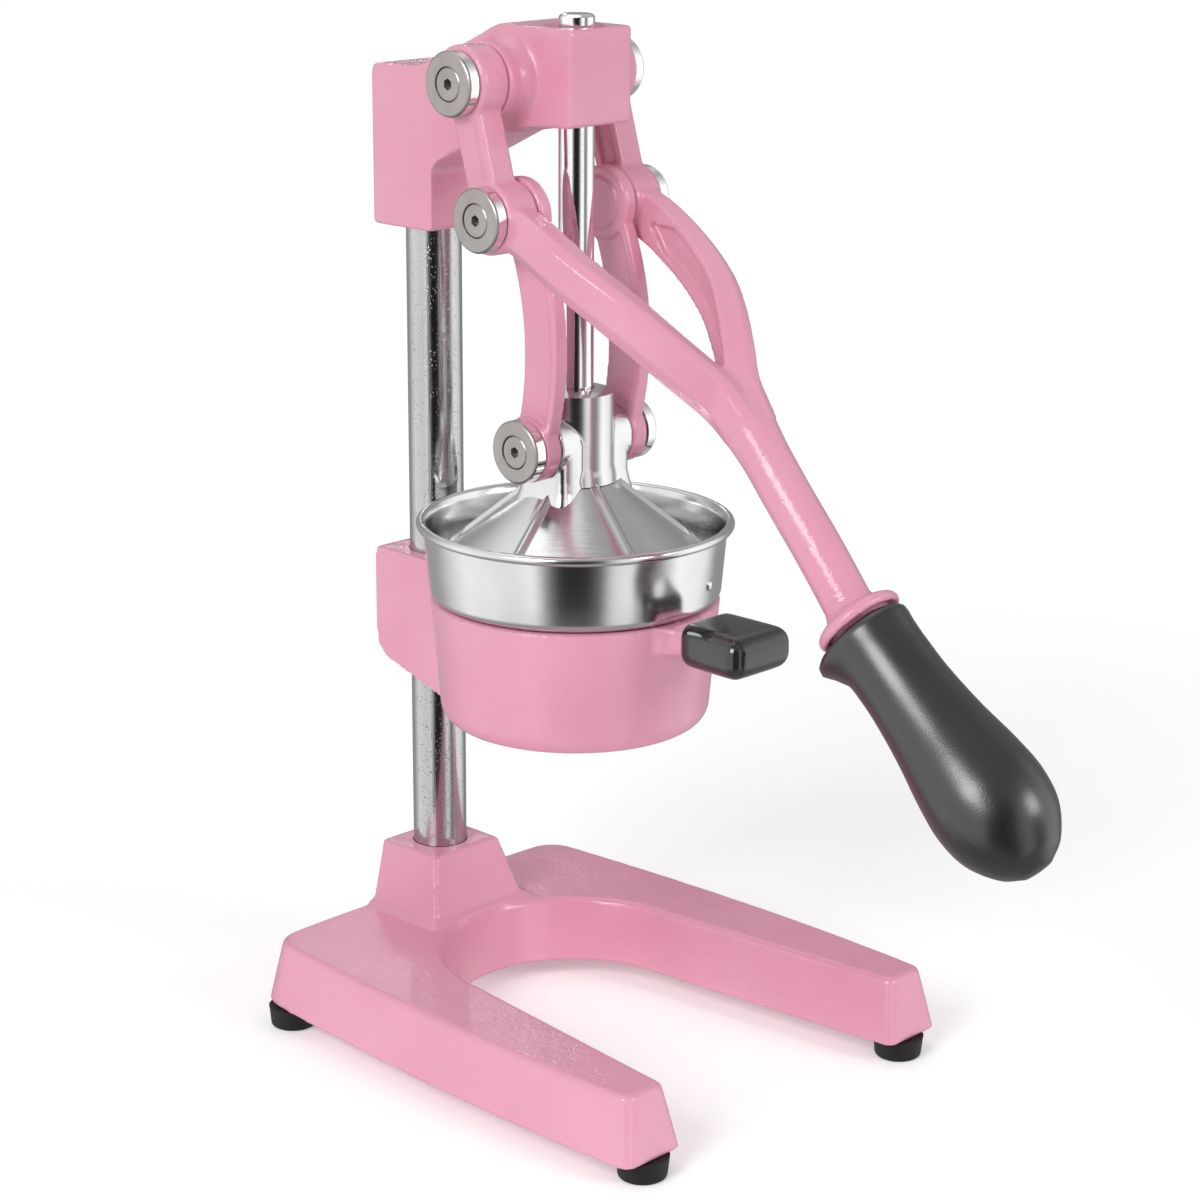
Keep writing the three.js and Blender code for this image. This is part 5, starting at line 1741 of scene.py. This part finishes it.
    def grip(self) -> bpy.types.Object:
        """The moulded grip: a lip flared on its underside, a waist and a full end.

        Returns:
            The piece.
        """
        neck, bulb = self.grip_neck, self.grip_bulb
        profile = [(0, 0), (neck - 2.2, 0), (neck - 0.6, 0.5), (neck + 0.4, 1.8),
                   (neck + 0.5, 4), (neck + 0.1, 8)]
        body = course([Vector((neck, 14, 0)), Vector((neck + 0.5, 30, 0)),
                       Vector((neck + 2.4, 48, 0)), Vector((bulb - 1.2, 66, 0)),
                       Vector((bulb, 80, 0)), Vector((bulb - 2.2, 93, 0)),
                       Vector((bulb - 9.2, 104, 0)), Vector((6.5, 109.2, 0))], 7)
        profile += [(p.x, p.y) for p in body] + [
            (2.5, self.grip_length - 0.1), (0, self.grip_length)]
        form = Form.lathe(profile, 144)
        under = -QUARTER_TURN  # before it is placed, -Y is the grip's underside

        def mould(at: Vector) -> None:
            """Flares the lip below, flattens four sides a little and raises a parting line.

            Args:
                at: the point's place, which is changed.
            """
            radius = math.hypot(at.x, at.y)
            if radius < 1:
                return
            angle = math.atan2(at.y, at.x)
            below = max(0.0, math.cos(angle - under)) ** 1.6
            near_lip = math.exp(-((at.z - 3.4) / 6.4) ** 2)
            flare = self.lip_flare * near_lip * min(1, radius / neck) * below
            flat = 0.02 * radius * (0.5 - 0.5 * math.cos(4 * angle)) * ease(at.z / 30)
            seam = 0.16 * math.exp(-(min(abs(math.sin(angle)), 1) * radius / 0.5) ** 2)
            scale = (radius + flare - flat + seam) / radius
            at.x *= scale
            at.y *= scale

        form.reshaped(mould).moved(self.grip_frame())
        return form.piece("moulded_grip", BLACK_SATIN, "lever", "lever_grip", 60)

    def build(self) -> None:
        """Makes the lever."""
        self.casting()
        self.grip()
        dress(ZINC, "grip_stud")


# ---------------------------------------------------------------- pivots


@dataclass
class Pivots:
    """The six turned caps with their countersunk socket screws."""

    cap_thickness: float = 5.4
    journal: float = 7
    screw: float = 6.4
    across_flats: float = 4

    def cap(self, name: str, side_name: str, side: int, body: str) -> None:
        """One cap and its screw.

        Args:
            name: the pivot's name.
            side_name: left or right.
            side: -1 or 1.
            body: the CAD body that it moves with.
        """
        box = Box.of(f"{name}_pivot_cap_{side_name}")
        radius = box.size.z / 2
        face = box.high.x if side > 0 else -box.low.x
        end = box.low.x if side > 0 else -box.high.x
        back = face - self.cap_thickness
        sink = self.screw + 0.25
        profile = [
            (3.3, end), (self.journal - 0.4, end), (self.journal, end + 0.4), (self.journal, back),
            (radius - 0.5, back), (radius, back + 0.5), (radius, face - 0.9),
            (radius - 0.35, face - 0.3), (radius - 0.9, face), (sink + 0.25, face),
            (sink, face - 0.3), (sink, face - 0.8), (3.3, face - 4)]
        finish = cap_finish(name)
        cap = Form.lathe(profile, 128).across(box.centre, side).piece(
            f"turned_cap_{name}_{side_name}", finish, body, f"{name}_pivot_cap_{side_name}", 25)
        cap.data.materials.append(POLISHED_NICKEL.material())
        for polygon in cap.data.polygons:
            polygon.material_index = int(abs(polygon.normal.x) < 0.5)
        screw_box = Box.of(f"{name}_pivot_screw_{side_name}")
        tip = screw_box.low.x if side > 0 else -screw_box.high.x
        head = [(0, tip), (2.6, tip), (3, tip + 0.5), (3, face - 4), (self.screw, face - 0.75),
                (self.screw, face - 0.45), (self.screw - 0.35, face - 0.2), (0, face - 0.2)]
        hexagon = [(x, y) for x, y in arc((0, 0), self.across_flats / math.sqrt(3), 0, 300, 5)]
        form = Form.lathe(head, 96)
        form.cut(Form.prism(hexagon, face - 2.6, face + 1, Axis.Z))
        form.across(box.centre, side).piece(
            f"socket_screw_{name}_{side_name}", finish, body,
            f"{name}_pivot_screw_{side_name}", 25)

    def build(self) -> None:
        """Makes all six."""
        for side_name, side in SIDES:
            for name, body in (("lever", "frame"), ("crank", "lever"), ("press", "press_head")):
                self.cap(name, side_name, side, body)


# ---------------------------------------------------------------- studio


LAMPS = (  # name, place, target, size, power
    ("key", (-1.6, -0.25, 1.15), (0, 0, 0.28), (0.8, 0.8), 17.4),
    ("front", (0.5, -1.8, 1.0), (0, 0, 0.28), (0.8, 0.8), 12.2),
    ("top", (0, 0.5, 2.2), (0, 0, 0), (1.2, 1.2), 3.5),
    ("strip_left", (1.2, 1.72, 1.0), (-0.07, 0, 0.04), (0.04, 0.16), 0.3),
    ("strip_right", (1.36, 1.62, 1.0), (-0.07, 0, 0.04), (0.04, 0.16), 0.3),
)


@dataclass
class Studio:
    """The plain floor, the soft light and the camera."""

    camera_place: Vector = field(default_factory=lambda: Vector((-815.1, -809.9, 522.0)))
    camera_target: Vector = field(default_factory=lambda: Vector((14.3, 0, 184.2)))
    camera_lens: float = 89.1
    camera_roll: float = 0.304
    floor_radius: float = 2.6
    floor_solid: float = 0.12  # share of the radius where the floor starts to fade
    floor_gone: float = 0.42
    floor_glow: float = 0.27
    room_strength: float = 0.9
    room_fill: float = 0.48  # what lights the piece's matt colours
    backdrop_white: float = 1.15

    def floor(self) -> None:
        """A round pale floor whose edge fades into the backdrop."""
        form = Form()
        bmesh.ops.create_circle(form.bm, cap_ends=True, segments=96, radius=self.floor_radius)
        mesh = form.mesh("floor")
        material = bpy.data.materials.new("floor")
        material.use_nodes = True
        graph = Graph(material.node_tree)
        shader = material.node_tree.nodes["Principled BSDF"]
        shader.inputs["Roughness"].default_value = 0.7
        where = graph.node("TexCoord").outputs["Object"]
        away = graph.node("VectorMath", operation="LENGTH")
        graph.feed(away.inputs[0], where)
        noise = graph.node("TexNoise", {"Vector": where, "Scale": 30.0, "Detail": 3.0})
        graph.feed(shader.inputs["Base Color"], mixed(
            graph, noise.outputs["Fac"], (0.94, 0.94, 0.94), (0.92, 0.92, 0.92)))
        shader.inputs["Emission Color"].default_value = (1, 1, 1, 1)
        shader.inputs["Emission Strength"].default_value = self.floor_glow
        outwards = graph.maths("DIVIDE", away.outputs["Value"], self.floor_radius)
        graph.feed(shader.inputs["Alpha"], graph.ramp(
            outwards, (self.floor_solid, 1.0), (self.floor_gone, 0.0)))
        mesh.materials.append(material)
        floor = bpy.data.objects.new("floor", mesh)
        floor.visible_glossy = False
        bpy.context.scene.collection.objects.link(floor)

    def backdrop(self) -> None:
        """White to the camera; in reflections, a bright room with one dark flag."""
        world = bpy.data.worlds.new("studio")
        bpy.context.scene.world = world
        world.use_nodes = True
        tree = world.node_tree
        tree.nodes.clear()
        graph = Graph(tree)
        where = graph.node("TexCoord").outputs["Generated"]
        parts = graph.node("SeparateXYZ", {"Vector": where})
        azimuth = graph.maths("ARCTAN2", parts.outputs["Y"], parts.outputs["X"])
        share = graph.maths("ADD", graph.maths("DIVIDE", azimuth, FULL_TURN), 0.5)
        around = graph.ramp(
            share, (0.0, 1.2), (0.035, 1.5), (0.065, 0.3), (0.09, 0.02), (0.15, 0.02),
            (0.18, 0.15), (0.205, 1.1), (0.25, 1.4), (0.275, 0.25), (0.31, 0.4), (0.36, 1.6),
            (0.45, 1.3), (0.5, 0.4), (0.62, 0.35), (0.76, 0.5), (0.86, 1.4), (1.0, 1.2))
        aloft = graph.ramp(parts.outputs["Z"], (0.4, 0.0), (0.75, 1.0))
        downwards = graph.maths("MULTIPLY", parts.outputs["Z"], -1.0)
        below = graph.ramp(downwards, (0.45, 0.0), (0.7, 1.0))
        overhead = graph.ramp(parts.outputs["Y"], (0.0, 0.5), (0.45, 1.1))
        room = around
        for amount, value in ((aloft, overhead), (below, (0.45, 0.45, 0.45, 1))):
            mix = graph.node("Mix", data_type="RGBA")
            graph.feed(mix.inputs[0], amount)
            graph.feed(mix.inputs[6], room)
            graph.feed(mix.inputs[7], value)
            room = mix.outputs[2]
        path = graph.node("LightPath")
        even = graph.node("Mix", data_type="RGBA")
        graph.feed(even.inputs[0], path.outputs["Is Diffuse Ray"])
        graph.feed(even.inputs[6], room)
        even.inputs[7].default_value = (*[self.room_fill] * 3, 1)
        seen = graph.node("Mix", data_type="RGBA")
        graph.feed(seen.inputs[0], path.outputs["Is Camera Ray"])
        graph.feed(seen.inputs[6], even.outputs[2])
        seen.inputs[7].default_value = (*[self.backdrop_white] * 3, 1)
        light = graph.node("Background", {
            "Color": seen.outputs[2], "Strength": self.room_strength})
        output = graph.node("OutputWorld")
        graph.feed(output.inputs["Surface"], light.outputs["Background"])

    def lamp(self, name: str, place: tuple, target: tuple, size: tuple, power: float) -> None:
        """An oblong soft light.

        Args:
            name: the light's name.
            place: where it hangs, in metres.
            target: what it faces.
            size: its width and height.
            power: its watts.
        """
        data = bpy.data.lights.new(name, "AREA")
        data.shape = "RECTANGLE"
        data.size, data.size_y = size
        data.energy = power
        lamp = bpy.data.objects.new(name, data)
        lamp.location = place
        lamp.rotation_euler = (Vector(target) - Vector(place)).to_track_quat("-Z", "Y").to_euler()
        bpy.context.scene.collection.objects.link(lamp)

    def camera(self) -> None:
        """The camera at the press's three-quarter view."""
        data = bpy.data.cameras.new("camera")
        data.lens = self.camera_lens
        camera = bpy.data.objects.new("camera", data)
        to_row = row_frame()
        place = to_row @ self.camera_place
        look = (to_row @ self.camera_target - place).to_track_quat("-Z", "Y").to_matrix()
        roll = Matrix.Rotation(math.radians(self.camera_roll), 3, "Z")
        camera.matrix_world = Matrix.Translation(place) @ (look @ roll).to_4x4()
        bpy.context.scene.collection.objects.link(camera)
        bpy.context.scene.camera = camera

    def build(self) -> None:
        """Sets the stage."""
        self.floor()
        self.backdrop()
        for lamp in LAMPS:
            self.lamp(*lamp)
        self.camera()
        bpy.context.scene.view_settings.view_transform = "Standard"


# ---------------------------------------------------------------- assembly


def main() -> None:
    """Builds every sub-assembly in order."""
    logging.basicConfig(level=logging.INFO, format="%(name)s %(message)s", stream=sys.stdout)
    parts: Iterable = (Stand(), Head(), CupRing(), Vessel(), PressHead(), Links(), Lever(),
                       Pivots(), Studio())
    for part in parts:
        LOG.info("building %s", type(part).__name__)
        part.build()


if __name__ == "__main__":
    main()
